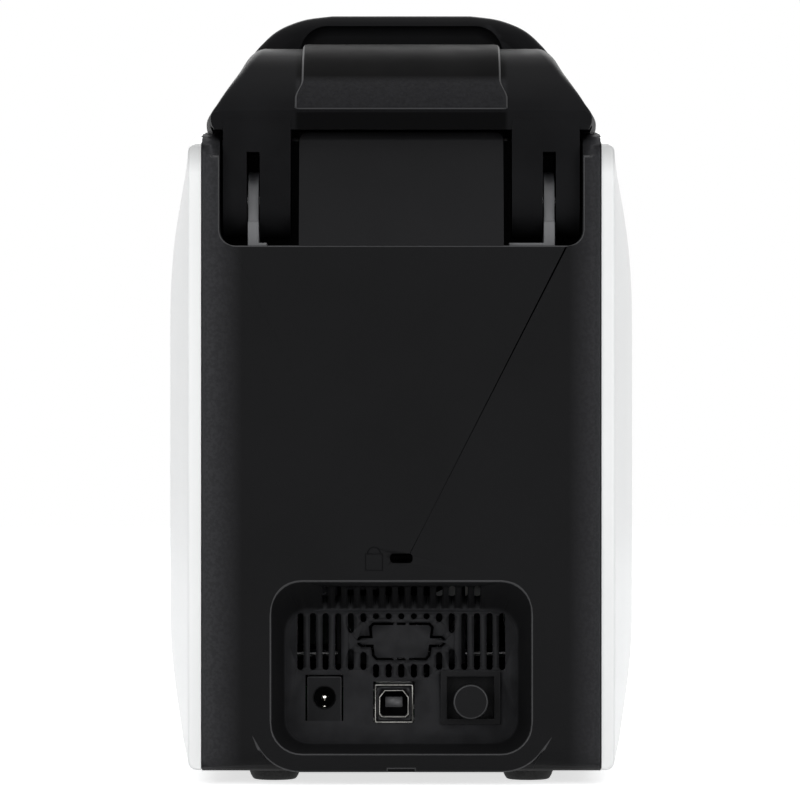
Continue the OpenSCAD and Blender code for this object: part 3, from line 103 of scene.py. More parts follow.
class StudioSettings(bpy.types.PropertyGroup):
    """Floor, lamps and camera."""

    camera_distance: FloatProperty(
        name="Camera distance", description="Distance of the camera from the rear panel",
        default=1.585, min=0.5, max=6.0, unit="LENGTH", subtype="DISTANCE")
    camera_height: FloatProperty(
        name="Camera height", description="Height of the camera above the floor",
        default=0.1185, min=0.0, max=1.0, unit="LENGTH", subtype="DISTANCE")
    floor_size: FloatProperty(
        name="Floor size", description="Width of the pale floor",
        default=6.0, min=1.0, max=20.0, unit="LENGTH", subtype="DISTANCE")


# ---------------------------------------------------------------- mesh helpers


def new_object(name, verts, faces):
    """Makes a smooth shaded object at the origin from points and faces."""
    mesh = bpy.data.meshes.new(name)
    mesh.from_pydata([tuple(v) for v in verts], [], faces)
    mesh.update()
    obj = bpy.data.objects.new(name, mesh)
    bpy.context.scene.collection.objects.link(obj)
    for polygon in mesh.polygons:
        polygon.use_smooth = True
    return obj


def edit_mesh(obj, work):
    """Runs work on a bmesh of the object and writes it back."""
    bm = bmesh.new()
    bm.from_mesh(obj.data)
    work(bm)
    bm.to_mesh(obj.data)
    bm.free()
    obj.data.update()


def apply_modifiers(obj):
    """Turns the evaluated result of an object's modifiers into its plain mesh."""
    depsgraph = bpy.context.evaluated_depsgraph_get()
    depsgraph.update()
    mesh = bpy.data.meshes.new_from_object(obj.evaluated_get(depsgraph))
    old = obj.data
    obj.modifiers.clear()
    obj.data = mesh
    if old.users == 0:
        bpy.data.meshes.remove(old)
    mesh.name = obj.name


def set_material(obj, material, edge=None):
    """Gives an object its finish, and the faces of its rounded edges another where one is named."""
    marks = [0] * len(obj.data.polygons)
    if edge is not None:
        obj.data.polygons.foreach_get("material_index", marks)
    obj.data.materials.clear()
    obj.data.materials.append(material)
    if edge is not None:
        obj.data.materials.append(edge)
        obj.data.polygons.foreach_set("material_index", [min(mark, EDGE_SLOT) for mark in marks])


# Least angle in degrees at which an edge counts as sharp
SHARP = 30
# Angle in degrees over which a copied node's edges are rounded
COPY_ANGLE = 40.0


def mark_edges(obj, wanted):
    """Marks the sharp edges between two points that wanted picks, for a bevel by weight."""
    def mark(bm):
        """Gives each wanted edge a full bevel weight, and every other none."""
        layer = bm.edges.layers.float.get("bevel_weight_edge")
        if layer is None:
            layer = bm.edges.layers.float.new("bevel_weight_edge")
        for edge in bm.edges:
            sharp = len(edge.link_faces) == 2 and edge.calc_face_angle(0.0) > math.radians(SHARP)
            edge[layer] = 1.0 if sharp and wanted(*(vert.co / MM for vert in edge.verts)) else 0.0

    edit_mesh(obj, mark)


def bevel_edges(obj, radius, angle, segments, marked=False, edge_slot=EDGE_SLOT):
    """Rounds the sharp or the marked edges and gives the new faces the edge finish."""
    while len(obj.data.materials) <= EDGE_SLOT:
        obj.data.materials.append(None)
    bevel = obj.modifiers.new("Rounding", "BEVEL")
    bevel.width = radius
    bevel.segments = segments
    bevel.limit_method = "WEIGHT" if marked else "ANGLE"
    bevel.angle_limit = math.radians(angle)
    bevel.harden_normals = True
    bevel.use_clamp_overlap = not marked
    bevel.loop_slide = marked
    bevel.miter_outer = "MITER_ARC"
    bevel.material = edge_slot


def weigh_normals(obj):
    """Keeps large flat faces flat in the shading."""
    weigh = obj.modifiers.new("Flat faces", "WEIGHTED_NORMAL")
    weigh.mode = "FACE_AREA"
    weigh.weight = 50
    weigh.keep_sharp = True


def clean_copy(node, name, cutters=()):
    """Copies a CAD node, cuts it, and merges its loose triangles into whole faces."""
    mesh = NODES[node].data.copy()
    mesh.materials.clear()
    obj = bpy.data.objects.new(name, mesh)
    bpy.context.scene.collection.objects.link(obj)
    edit_mesh(obj, lambda bm: bmesh.ops.remove_doubles(bm, verts=bm.verts, dist=WELD))
    combine(obj, cutters, "DIFFERENCE")

    def clean(bm):
        """Merges flat faces, and splits them again where they have openings."""
        bmesh.ops.dissolve_limit(
            bm, angle_limit=math.radians(1.0), verts=bm.verts, edges=bm.edges)
        if node in WINDOWED:
            bmesh.ops.triangulate(bm, faces=[face for face in bm.faces if len(face.verts) > 4])

    edit_mesh(obj, clean)
    for polygon in obj.data.polygons:
        polygon.use_smooth = True
    return obj


def rounded_copy(node, name, radius, cutters=()):
    """Copies a CAD node, cuts it, and rounds its sharp edges."""
    obj = clean_copy(node, name, cutters)
    bevel_edges(obj, radius, COPY_ANGLE, 2)
    weigh_normals(obj)
    return obj


# ---------------------------------------------------------------- finishes


def settings(name):
    """The group of settings with a name, as the scene holds it."""
    return getattr(bpy.context.scene, name)


class Finish:
    """A node material under construction, with short ways to add its nodes."""

    def __init__(self, name, colour, roughness, metallic=0.0):
        self.material = bpy.data.materials.get(name) or bpy.data.materials.new(name)
        self.material.use_nodes = True
        self.tree = self.material.node_tree
        self.tree.nodes.clear()
        self.shader = self.add("ShaderNodeBsdfPrincipled")
        output = self.add("ShaderNodeOutputMaterial")
        self.join(self.shader.outputs[0], output.inputs["Surface"])
        self.set("Base Color", (*colour, 1.0))
        self.set("Roughness", roughness)
        self.set("Metallic", metallic)
        coordinates = self.add("ShaderNodeTexCoord")
        self.place = coordinates.outputs["Object"]

    def add(self, kind, **values):
        """Adds a node and sets its properties."""
        node = self.tree.nodes.new(kind)
        for key, value in values.items():
            setattr(node, key, value)
        return node

    def join(self, start, end):
        """Links an output to an input."""
        self.tree.links.new(start, end)

    def set(self, socket, value):
        """Sets one constant of the surface."""
        self.shader.inputs[socket].default_value = value

    def noise(self, size, detail=3.0, stretch=(1.0, 1.0, 1.0), roughness=0.5):
        """Noise with grains of about the given size in metres."""
        mapping = self.add("ShaderNodeMapping")
        mapping.inputs["Scale"].default_value = stretch
        self.join(self.place, mapping.inputs["Vector"])
        noise = self.add("ShaderNodeTexNoise")
        noise.inputs["Scale"].default_value = 1.0 / size
        noise.inputs["Detail"].default_value = detail
        noise.inputs["Roughness"].default_value = roughness
        self.join(mapping.outputs[0], noise.inputs["Vector"])
        return noise.outputs["Fac"]

    def remap(self, value, low, high, start=0.3, end=0.7):
        """Maps a texture value to a range."""
        node = self.add("ShaderNodeMapRange")
        node.inputs["From Min"].default_value = start
        node.inputs["From Max"].default_value = end
        node.inputs["To Min"].default_value = low
        node.inputs["To Max"].default_value = high
        self.join(value, node.inputs["Value"])
        return node.outputs[0]

    def zone(self, axis, low, high, blend=0.0006):
        """One between two places along an axis in metres, with soft ends, and zero elsewhere."""
        split = self.add("ShaderNodeSeparateXYZ")
        self.join(self.place, split.inputs[0])
        along = split.outputs[axis]
        rise = self.remap(along, 0.0, 1.0, low - blend, low + blend)
        fall = self.remap(along, 1.0, 0.0, high - blend, high + blend)
        return self.times(rise, fall)

    def times(self, a, b):
        """Product of two masks or values."""
        node = self.add("ShaderNodeMath", operation="MULTIPLY")
        self.join(a, node.inputs[0])
        self.join(b, node.inputs[1])
        return node.outputs[0]

    def blend_tone(self, mask, tone):
        """Turns the colour towards a tone where a mask is one."""
        base = self.shader.inputs["Base Color"]
        mix = self.add("ShaderNodeMix", data_type="RGBA")
        self.join(mask, mix.inputs["Factor"])
        if base.is_linked:
            self.join(base.links[0].from_socket, mix.inputs["A"])
        else:
            mix.inputs["A"].default_value = base.default_value
        mix.inputs["B"].default_value = (*tone, 1.0)
        self.join(mix.outputs["Result"], base)

    def roughness(self, value, low, high):
        """Varies the roughness by a texture value."""
        self.join(self.remap(value, low, high), self.shader.inputs["Roughness"])

    def tone(self, value, dark, light, start=0.3, end=0.7):
        """Colours the surface between two tones by a texture value."""
        mix = self.add("ShaderNodeMix", data_type="RGBA")
        self.join(self.remap(value, 0.0, 1.0, start, end), mix.inputs["Factor"])
        mix.inputs["A"].default_value = (*dark, 1.0)
        mix.inputs["B"].default_value = (*light, 1.0)
        self.join(mix.outputs["Result"], self.shader.inputs["Base Color"])

    def bump(self, value, depth, strength):
        """Raises the surface by a texture value over a depth in metres."""
        bump = self.add("ShaderNodeBump")
        bump.inputs["Strength"].default_value = strength
        bump.inputs["Distance"].default_value = depth
        self.join(value, bump.inputs["Height"])
        self.join(bump.outputs[0], self.shader.inputs["Normal"])

    def paint_edge_highlight(self, amount, tone):
        """Lightens convex edges a little: a painted highlight where the edges catch the light."""
        geometry = self.add("ShaderNodeNewGeometry")
        # Pointiness picks out the convex edges, which are lightened as a painted highlight
        edge = self.remap(geometry.outputs["Pointiness"], 0.0, amount, 0.52, 0.60)
        self.blend_tone(edge, tone)


def shade(colour, factor):
    """A colour made darker or lighter by a factor."""
    return tuple(min(1.0, c * factor) for c in colour)


def textured_black(name, colour, low=0.46, high=0.60, depth=0.00006, gloss=0.07):
    """Moulded black plastic with a fine spark-eroded grain, and a painted highlight on its convex edges.
    """
    finish = Finish(name, colour, 0.5)
    fine = finish.noise(settings("printer_finish").grain, 4.0)
    broad = finish.noise(0.035, 2.0)
    finish.tone(broad, shade(colour, 0.86), shade(colour, 1.16))
    finish.roughness(broad, low, high)
    finish.bump(fine, depth, 0.55)
    finish.set("Specular IOR Level", gloss)
    # Painted highlight: convex edges lightened to three times the colour
    finish.paint_edge_highlight(0.35, shade(colour, 3.0))
    return finish.material


# Places in metres that the finishes of the cowl, the rear panel and the covers tell apart, most of them
# where light or shade is painted
BAND_HALF = 0.0325
BAND_GRAIN_AND_LIGHT = (0.2082, 0.2178)
BAND_CROWN = (0.2178, 0.26)
BAND_SHADE = (0.19, 0.2078)
PANEL_MIDDLE = (-0.057, 0.0545)
BAY_HEIGHTS = (0.0085, 0.0645)
BAY_DEPTH = 0.0142
UPPER_CORNER = (0.1925, 0.26)
REAR_END = (0.172, 0.25)


def cowl_black(name, colour):
    """Black plastic of the hinge cowl: painted shade over the crown and under the band's lip, and a
    coarse grained band lower down that is lightened in speckles, partly by its grain and partly as
    painted light.
    """
    finish = Finish(name, colour, 0.5)
    coarse = finish.noise(0.0011, 5.0, roughness=0.7)
    broad = finish.noise(0.02, 3.0)
    finish.tone(broad, shade(colour, 0.95), shade(colour, 1.35))
    middle = finish.zone("X", -BAND_HALF, BAND_HALF)
    # Painted shade: the crown of the band, above its grained part, darkened to a fifth
    crown = finish.times(finish.zone("Z", *BAND_CROWN, 0.0012), middle)
    finish.blend_tone(crown, shade(colour, 0.2))
    # Painted shadow under the lip of the band
    shadow = finish.times(finish.zone("Z", *BAND_SHADE, 0.0006), middle)
    finish.blend_tone(shadow, shade(colour, 0.3))
    # Grained band: real coarse grain, lightened in speckles as painted light where the band faces up and
    # back
    grain_and_light_band = finish.times(finish.zone("Z", *BAND_GRAIN_AND_LIGHT, 0.0012), middle)
    speckle = finish.remap(coarse, 0.45, 1.0, 0.35, 0.65)
    finish.blend_tone(finish.times(grain_and_light_band, speckle), shade(colour, 3.0))
    finish.roughness(broad, 0.42, 0.56)
    finish.bump(finish.times(grain_and_light_band, coarse), 0.00025, 0.8)
    finish.set("Specular IOR Level", 0.02)
    return finish.material


def panel_black(name, colour):
    """Textured black of the rear panel, with painted light towards its sides, speckled by its grain, and
    painted light in patches on the back of its connector bay.
    """
    finish = Finish(name, colour, 0.5)
    fine = finish.noise(settings("printer_finish").grain, 4.0)
    broad = finish.noise(0.035, 2.0)
    finish.tone(broad, shade(colour, 0.8), shade(colour, 1.05))
    # Painted light: the sides lightened, speckled by the grain, where their rounded edges catch light
    # from the white covers
    sides = finish.remap(finish.zone("X", *PANEL_MIDDLE, 0.0055), 1.0, 0.0, 0.0, 1.0)
    grain = finish.remap(finish.noise(0.0009, 3.0), 0.7, 1.0, 0.4, 0.6)
    finish.blend_tone(finish.times(sides, grain), shade(colour, 5.4))
    # Painted light: the back of the connector bay, away from its walls and roof, lightened in patches
    bay = finish.times(finish.zone("Z", *BAY_HEIGHTS),
                       finish.zone("Y", 0.1, REAR * MM - BAY_DEPTH, 0.0008))
    patches = finish.remap(finish.noise(0.006, 4.0), 0.6, 1.0, 0.35, 0.6)
    finish.blend_tone(finish.times(bay, patches), shade(colour, 3.2))
    finish.roughness(broad, 0.5, 0.62)
    finish.bump(fine, 0.00006, 0.55)
    finish.set("Specular IOR Level", 0.06)
    return finish.material


def glossy_white(name, colour):
    """White cover plastic: gloss over a slightly wavy moulding, with painted shade at the upper rear
    corner.
    """
    roughness = 0.34
    finish = Finish(name, colour, roughness)
    broad = finish.noise(0.05, 2.0)
    fine = finish.noise(0.0009, 3.0)
    finish.tone(broad, shade(colour, 0.985), shade(colour, 1.01))
    corner = finish.times(finish.zone("Z", *UPPER_CORNER, 0.004), finish.zone("Y", *REAR_END, 0.014))
    # Painted shade: the upper rear corner greyed to six tenths of the colour
    finish.blend_tone(corner, shade(colour, 0.6))
    finish.roughness(fine, roughness * 0.85, roughness * 1.2)
    finish.bump(broad, 0.00004, 0.25)
    finish.set("Specular IOR Level", 0.22)
    return finish.material


def plain_plastic(name, colour, roughness=0.45):
    """Matt moulded plastic."""
    finish = Finish(name, colour, roughness)
    fine = finish.noise(0.0008, 3.0)
    broad = finish.noise(0.02, 2.0)
    finish.tone(broad, shade(colour, 0.93), shade(colour, 1.06))
    finish.roughness(fine, roughness * 0.85, roughness * 1.15)
    finish.bump(fine, 0.00003, 0.4)
    return finish.material


def brushed_metal(name, colour, roughness, along=(0.04, 1.0, 1.0)):
    """Sheet or bar with fine lines along one direction."""
    finish = Finish(name, colour, roughness, 1.0)
    lines = finish.noise(0.0007, 3.0, along)
    broad = finish.noise(0.02, 2.0)
    finish.tone(broad, shade(colour, 0.88), shade(colour, 1.05))
    finish.roughness(lines, roughness * 0.75, roughness * 1.3)
    finish.bump(lines, 0.00002, 0.3)
    return finish.material


def soft_rubber(name, colour, grain=0.0006):
    """Rubber with a dull, slightly dusty face."""
    finish = Finish(name, colour, 0.8)
    fine = finish.noise(grain, 4.0)
    broad = finish.noise(0.008, 3.0)
    finish.tone(broad, colour, shade(colour, 1.7))
    finish.roughness(fine, 0.68, 0.9)
    finish.bump(fine, 0.00005, 0.6)
    finish.set("Sheen Weight", 0.2)
    return finish.material


def ribbon_film(name, colour):
    """Shiny dye film, with faint bands across the strip."""
    finish = Finish(name, colour, 0.16)
    rings = finish.noise(0.0025, 2.0, (0.05, 1.0, 1.0))
    finish.tone(rings, shade(colour, 0.6), shade(colour, 1.5))
    finish.bump(rings, 0.00003, 0.4)
    finish.set("Coat Weight", 0.6)
    return finish.material


def circuit_board(name):
    """Solder mask with copper tracks that show through it."""
    lacquer, track = (0.010, 0.085, 0.03), (0.03, 0.2, 0.07)
    finish = Finish(name, lacquer, 0.32)
    cells = finish.add("ShaderNodeTexVoronoi", distance="MANHATTAN", feature="DISTANCE_TO_EDGE")
    cells.inputs["Scale"].default_value = 260.0
    finish.join(finish.place, cells.inputs["Vector"])
    tracks = cells.outputs["Distance"]
    finish.tone(tracks, track, lacquer, 0.04, 0.09)
    finish.bump(tracks, 0.00003, 0.3)
    return finish.material


def smoked_window(name):
    """Dark glossy display window."""
    finish = Finish(name, (0.004, 0.005, 0.007), 0.2)
    patches = finish.noise(0.006, 3.0)
    finish.roughness(patches, 0.16, 0.26)
    finish.set("Specular IOR Level", 0.2)
    return finish.material


def metal_case(name, colour):
    """Painted or plated case of a motor or socket."""
    finish = Finish(name, colour, 0.3, 0.85)
    fine = finish.noise(0.0012, 3.0)
    finish.tone(fine, shade(colour, 0.8), shade(colour, 1.15))
    finish.roughness(fine, 0.24, 0.42)
    finish.bump(fine, 0.00002, 0.3)
    return finish.material


def make_finishes():
    """Every finish of the printer, by its short name."""
    s = settings("printer_finish")
    black = tuple(s.black)
    white = tuple(s.white)
    return {
        "black_plastic": textured_black("Textured black plastic", black),
        "lid_black": textured_black("Smooth black plastic", black, 0.36, 0.46, 0.00003, gloss=0.02),
        "cowl_black": cowl_black("Cowl black plastic", black),
        "panel_black": panel_black("Rear panel plastic", black),
        # Lighter black for the faces of rounded edges: a painted highlight, and glossier too
        "highlight_edge_black": textured_black("Black edge with painted highlight", (0.024, 0.024, 0.025), 0.4, 0.5, gloss=0.25),
        "port_black": textured_black("Glossy black plastic", (0.004, 0.004, 0.0045), 0.2, 0.3, 0.00001,
                                     gloss=0.12),
        "port_grey": plain_plastic("Port tongue grey", (0.035, 0.035, 0.037), 0.5),
        "white_plastic": glossy_white("White cover plastic", white),
        "grey_plastic": plain_plastic("Grey plastic", (0.075, 0.077, 0.08)),
        "button_grey": plain_plastic("Button grey", (0.13, 0.133, 0.138), 0.45),
        "hinge_grey": plain_plastic("Hinge grey", (0.11, 0.11, 0.114), 0.5),
        "rubber": soft_rubber("Foot rubber", (0.012, 0.012, 0.012)),
        "roller_rubber": soft_rubber("Roller rubber", (0.022, 0.023, 0.025), 0.0004),
        "sheet_steel": brushed_metal("Zinc plated sheet", (0.56, 0.57, 0.58), 0.38, (1.0, 0.04, 1.0)),
        "steel": brushed_metal("Ground steel", (0.58, 0.58, 0.59), 0.26),
        "gear_plastic": plain_plastic("Gear plastic", (0.66, 0.62, 0.52), 0.4),
        "brass": brushed_metal("Machined brass", (0.72, 0.50, 0.20), 0.25),
        "motor_case": metal_case("Motor case", (0.05, 0.05, 0.055)),
        "film": ribbon_film("Ribbon film", (0.10, 0.012, 0.05)),
        "board": circuit_board("Circuit board"),
        "display": smoked_window("Display window"),
        "connector_metal": metal_case("Nickel shell", (0.27, 0.265, 0.25)),
        "blue_plastic": plain_plastic("Blue plastic", (0.03, 0.11, 0.28), 0.42),
        "aluminium": brushed_metal("Extruded aluminium", (0.75, 0.76, 0.77), 0.3),
        "contact": brushed_metal("Contact metal", (0.80, 0.78, 0.72), 0.2),
        "chip": plain_plastic("Chip body", (0.015, 0.015, 0.016), 0.4),
    }


FINISHES = {}


def finish_of(name):
    """The finish with a short name. All of them are made when the first is asked for."""
    if not FINISHES:
        FINISHES.update(make_finishes())
    return FINISHES[name]


# ---------------------------------------------------------------- outer covers


# Sizes of the printer, in millimetres: half width, rear face, side of the core and height of its foot
HALF_WIDTH = 80.0
REAR = 193.0
CORE_SIDE = 61.5
FOOT = 4.0
# Inner side, end, top and wall of the side covers
COVER_SIDE = 61.7
COVER_END = 190.5
SHOULDER = 208.0
WALL = 2.5
# Depths at which the side covers are highest and widest
CREST = 20.0
WIDEST = -55.0
# How far the side covers stand out from the core at each end, and how far their top drops there
REAR_LIP, REAR_DROP = 4.0, 11.0
FRONT_LIP, FRONT_DROP = 5.0, 40.0
# Heights where the sides start to lean in, then how far they lean and how sharply
LEAN_LOW = 45.0
LEAN_HIGH = 140.0
LOW_LEAN, LOW_CURVE = 5.6, 1.8
HIGH_LEAN, HIGH_CURVE = 11.5, 2.6
CORNER = 6.0
# Largest corner radius as a share of the cover's width there
CORNER_SHARE = 0.62
# Steps of the outline round the lower corner, up the flank and round the upper corner
OUTLINE_STEPS = (8, 40, 12)
END_ROUND = 0.9
HOLLOW_STEPS = 30


def side_reach(y):
    """Distance of the side surface from the middle, in millimetres."""
    if y > WIDEST:
        return HALF_WIDTH - (HALF_WIDTH - CORE_SIDE - REAR_LIP) * ((y - WIDEST) / (REAR - WIDEST)) ** 2
    return HALF_WIDTH - (HALF_WIDTH - CORE_SIDE - FRONT_LIP) * ((WIDEST - y) / (WIDEST + REAR)) ** 2


def side_top(y):
    """Height of a side cover's top edge, in millimetres."""
    if y > CREST:
        return SHOULDER - REAR_DROP * ((y - CREST) / (REAR - CREST)) ** 2
    return SHOULDER - FRONT_DROP * ((CREST - y) / (CREST + REAR)) ** 2


def side_tuck(y, z):
    """How far the side surface leans in near the floor and near the top."""
    lean = 0.0
    if z < LEAN_LOW:
        lean = LOW_LEAN * ((LEAN_LOW - z) / (LEAN_LOW - FOOT)) ** LOW_CURVE
    elif z > LEAN_HIGH:
        lean = HIGH_LEAN * ((z - LEAN_HIGH) / (SHOULDER - LEAN_HIGH)) ** HIGH_CURVE
    return (1 - (y / REAR) ** 2) * lean


def cover_section(y, inset):
    """Half outline of a side cover, in X and Z, from the base to the top."""
    reach = side_reach(y) - inset
    low = FOOT + 0.5 + inset
    high = side_top(y) - inset
    r = max(0.3, min(CORNER, (side_reach(y) - COVER_SIDE) * CORNER_SHARE) - inset * 0.6)
    low_x = reach - side_tuck(y, low + r)
    high_x = reach - side_tuck(y, high - r)
    low_steps, flank_steps, high_steps = OUTLINE_STEPS
    points = []
    for step in range(low_steps + 1):
        turn = math.radians(-90 + 90 * step / low_steps)
        points.append((low_x - r + r * math.cos(turn), low + r + r * math.sin(turn)))
    for step in range(1, flank_steps):
        z = low + r + (high - low - 2 * r) * step / flank_steps
        points.append((reach - side_tuck(y, z), z))
    for step in range(high_steps + 1):
        turn = math.radians(90 * step / high_steps)
        points.append((high_x - r + r * math.cos(turn), high - r + r * math.sin(turn)))
    return points


def loft(name, rings, side=1, highlight_faces=None):
    """Closed skin through rings of equal point count, in millimetres.

    The last argument tells, by ring and point number, which faces take the edge finish, whose lighter
    black on the cowl is a painted highlight.
    """
    count = len(rings[0])
    verts = [(p[0] * MM * side, p[1] * MM, p[2] * MM) for ring in rings for p in ring]
    faces = []
    for i in range(len(rings) - 1):
        for j in range(count):
            k = (j + 1) % count
            faces.append((i * count + j, i * count + k, (i + 1) * count + k, (i + 1) * count + j))
    faces.append(tuple(range(count - 1, -1, -1)))
    last = (len(rings) - 1) * count
    faces.append(tuple(last + j for j in range(count)))
    obj = new_object(name, verts, faces)
    if highlight_faces is not None:
        marks = [EDGE_SLOT if f < len(faces) - 2 and highlight_faces(f // count, f % count) else 0
                 for f in range(len(faces))]
        obj.data.materials.append(None)
        obj.data.materials.append(None)
        obj.data.polygons.foreach_set("material_index", marks)

    def turn_out(bm):
        """Closes the skin and turns its faces outward."""
        bmesh.ops.remove_doubles(bm, verts=bm.verts, dist=WELD)
        bmesh.ops.recalc_face_normals(bm, faces=bm.faces)

    edit_mesh(obj, turn_out)
    return obj


def end_insets(radius, steps):
    """Distances from an end and the matching insets of a quarter round."""
    pairs = []
    for step in range(steps + 1):
        turn = math.radians(90 * step / steps)
        pairs.append((radius * (1 - math.cos(turn)), radius * (1 - math.sin(turn))))
    return pairs


def cover_ring(y, inset, reach):
    """Closed outline of a side cover at a depth, moved in by an inset, from an inner reach."""
    points = [(reach, FOOT + 0.5 + inset)]
    points += cover_section(y, inset)
    points.append((reach, side_top(y) - inset))
    return [(x, y, z) for x, z in points]


def side_cover(name, side):
    """One side cover: a hollow curved shell, open towards the core."""
    s = settings("printer_covers")
    rounds = end_insets(END_ROUND, 4)
    stations = [(-COVER_END + d, inset) for d, inset in rounds]
    start, end = stations[-1][0], COVER_END - rounds[-1][0]
    stations += [(start + (end - start) * i / s.rings, 0.0) for i in range(1, s.rings)]
    stations += [(COVER_END - d, inset) for d, inset in reversed(rounds)]
    cover = loft(name, [cover_ring(y, inset, COVER_SIDE) for y, inset in stations], side)
    deep = [-COVER_END + WALL + (2 * COVER_END - 2 * WALL) * i / HOLLOW_STEPS
            for i in range(HOLLOW_STEPS + 1)]
    hollow = loft("cover_hollow", [cover_ring(y, WALL, COVER_SIDE - OVERCUT) for y in deep], side)
    step = prism("cover_step", box_outline(STEP_INNER, STEP_LOW, LID_HALF + LID_PLAY, BODY_TOP),
                 "y", -REAR, REAR)
    if side < 0:
        edit_mesh(step, flip_x)
    combine(cover, [hollow, step], "DIFFERENCE")
    return cover


# Share of the flank's lean, or of the crown's width, against the share of the lid's height
FLANK_FORM = [(1, 0), (1.01, 0.06), (0.935, 0.144), (0.794, 0.24), (0.647, 0.34),
              (0.488, 0.436), (0.318, 0.536), (0.176, 0.633), (0, 0.73)]
CROWN_FORM = [(0.96, 0.78), (0.918, 0.828), (0.864, 0.877), (0.785, 0.925), (0.655, 0.974),
              (0.48, 1)]
# How far, as a share of the flank's lean, the lower edge draws in towards the rear
RIM_TUCK = 0.12
LID_LOW = 202.0
LID_HALF = 62.8
# Play between the lid's lower edge and the side covers
LID_PLAY = 0.45
# Depths of the lid's rear end, its nose, and the place where its crown starts to fall
LID_REAR = 138.0
LID_FRONT = -171.0
LID_FLAT = 60.0
CROWN_HALF = 45.8
BODY_TOP = 241.0
# Inner side and bottom of the step that the lid's edge sits on
STEP_INNER = 58.7
STEP_LOW = LID_LOW - 0.5
NOSE_HEIGHT = 183.0
NOSE_DROP = BODY_TOP - NOSE_HEIGHT


def lid_top(y):
    """Height of the lid's crown, which falls towards the nose."""
    if y >= LID_FLAT:
        return BODY_TOP
    return BODY_TOP - NOSE_DROP * ((LID_FLAT - y) / (LID_FLAT - LID_FRONT)) ** 3


def lid_low(y):
    """Height of the lid's lower edge, which follows the side covers at the front."""
    return min(LID_LOW, side_top(y) + 0.9) if y < 0 else LID_LOW


def crown_width(y):
    """Half width of the crown, which widens towards the nose."""
    if y >= LID_FLAT:
        return CROWN_HALF
    share = ((LID_FLAT - y) / (LID_FLAT - LID_FRONT)) ** 2
    return CROWN_HALF + (LID_HALF - 5 - CROWN_HALF) * share


def smooth_line(points, parts):
    """Points along a soft curve through the given points."""
    line = []
    for i in range(len(points) - 1):
        before = points[max(i - 1, 0)]
        start, end = points[i], points[i + 1]
        after = points[min(i + 2, len(points) - 1)]
        for step in range(parts):
            t = step / parts
            line.append(tuple(
                0.5 * (2 * b + (c - a) * t + (2 * a - 5 * b + 4 * c - d) * t * t
                       + (3 * b - a - 3 * c + d) * t ** 3)
                for a, b, c, d in zip(before, start, end, after)))
    line.append(points[-1])
    return line


def lid_half_line(y, inset):
    """Right half of the lid's outline, from its lower edge to the crown, moved in by an inset."""
    low = lid_low(y)
    rise = lid_top(y) - low
    crown = crown_width(y)
    tuck = max(0.0, min(1.0, (y - LID_FLAT) / (LID_REAR - LID_FLAT)))
    knots = [(crown + (LID_HALF - crown) * (share - tuck * max(0.0, RIM_TUCK - up * 0.8)) - inset * 1.1,
              low + rise * up - inset * up) for share, up in FLANK_FORM]
    knots += [((crown - inset) * share, low + rise * up - inset * up) for share, up in CROWN_FORM]
    return smooth_line(knots, 4)


def lid_ring(y, inset):
    """Whole outline of the lid at a depth, from one lower edge over the crown to the other."""
    half = lid_half_line(y, inset)
    crown_x, crown_z = half[-1]
    flat = [(crown_x * (1 - 2 * i / 12), crown_z) for i in range(1, 12)]
    outline = half + flat + [(-x, z) for x, z in reversed(half)]
    return [(x, y, z) for x, z in outline]


def join_parts(name, parts):
    """Joins several closed meshes into one object."""
    bm = bmesh.new()
    for part in parts:
        bm.from_mesh(part.data)
    mesh = bpy.data.meshes.new(name)
    bm.to_mesh(mesh)
    bm.free()
    obj = bpy.data.objects.new(name, mesh)
    bpy.context.scene.collection.objects.link(obj)
    for part in parts:
        bpy.data.objects.remove(part)
    return obj


def prism(name, outline, axis, low, high):
    """Closed solid from a flat outline in millimetres, extruded along an axis."""
    def place(a, b, along):
        """Point of the outline at a place along the axis."""
        return {"x": (along, a, b), "y": (a, along, b), "z": (a, b, along)}[axis]

    verts = [tuple(c * MM for c in place(a, b, low)) for a, b in outline]
    verts += [tuple(c * MM for c in place(a, b, high)) for a, b in outline]
    count = len(outline)
    faces = [tuple(range(count)), tuple(range(2 * count - 1, count - 1, -1))]
    for i in range(count):
        k = (i + 1) % count
        faces.append((i, count + i, count + k, k))
    obj = new_object(name, verts, faces)
    edit_mesh(obj, lambda bm: bmesh.ops.recalc_face_normals(bm, faces=bm.faces))
    return obj


def combine(obj, others, how):
    """Boolean of an object with others, which are used up."""
    for other in others:
        cut = obj.modifiers.new("Combine", "BOOLEAN")
        cut.operation = how
        cut.solver = "EXACT"
        cut.object = other
        apply_modifiers(obj)
        bpy.data.objects.remove(other)
    return obj


def box_outline(a0, b0, a1, b1):
    """Outline of a rectangle between two corners."""
    return [(a0, b0), (a1, b0), (a1, b1), (a0, b1)]


def round_outline(width, height, radius, centre, parts):
    """Outline of a rectangle with round corners."""
    points = []
    for quarter, (sx, sy) in enumerate(((1, 1), (-1, 1), (-1, -1), (1, -1))):
        for step in range(parts + 1):
            turn = math.radians(90 * quarter + 90 * step / parts)
            points.append((centre[0] + sx * (width / 2 - radius) + radius * math.cos(turn),
                           centre[1] + sy * (height / 2 - radius) + radius * math.sin(turn)))
    return points


def circle_outline(radius, centre, parts):
    """Outline of a circle."""
    return [(centre[0] + radius * math.cos(2 * math.pi * i / parts),
             centre[1] + radius * math.sin(2 * math.pi * i / parts)) for i in range(parts)]


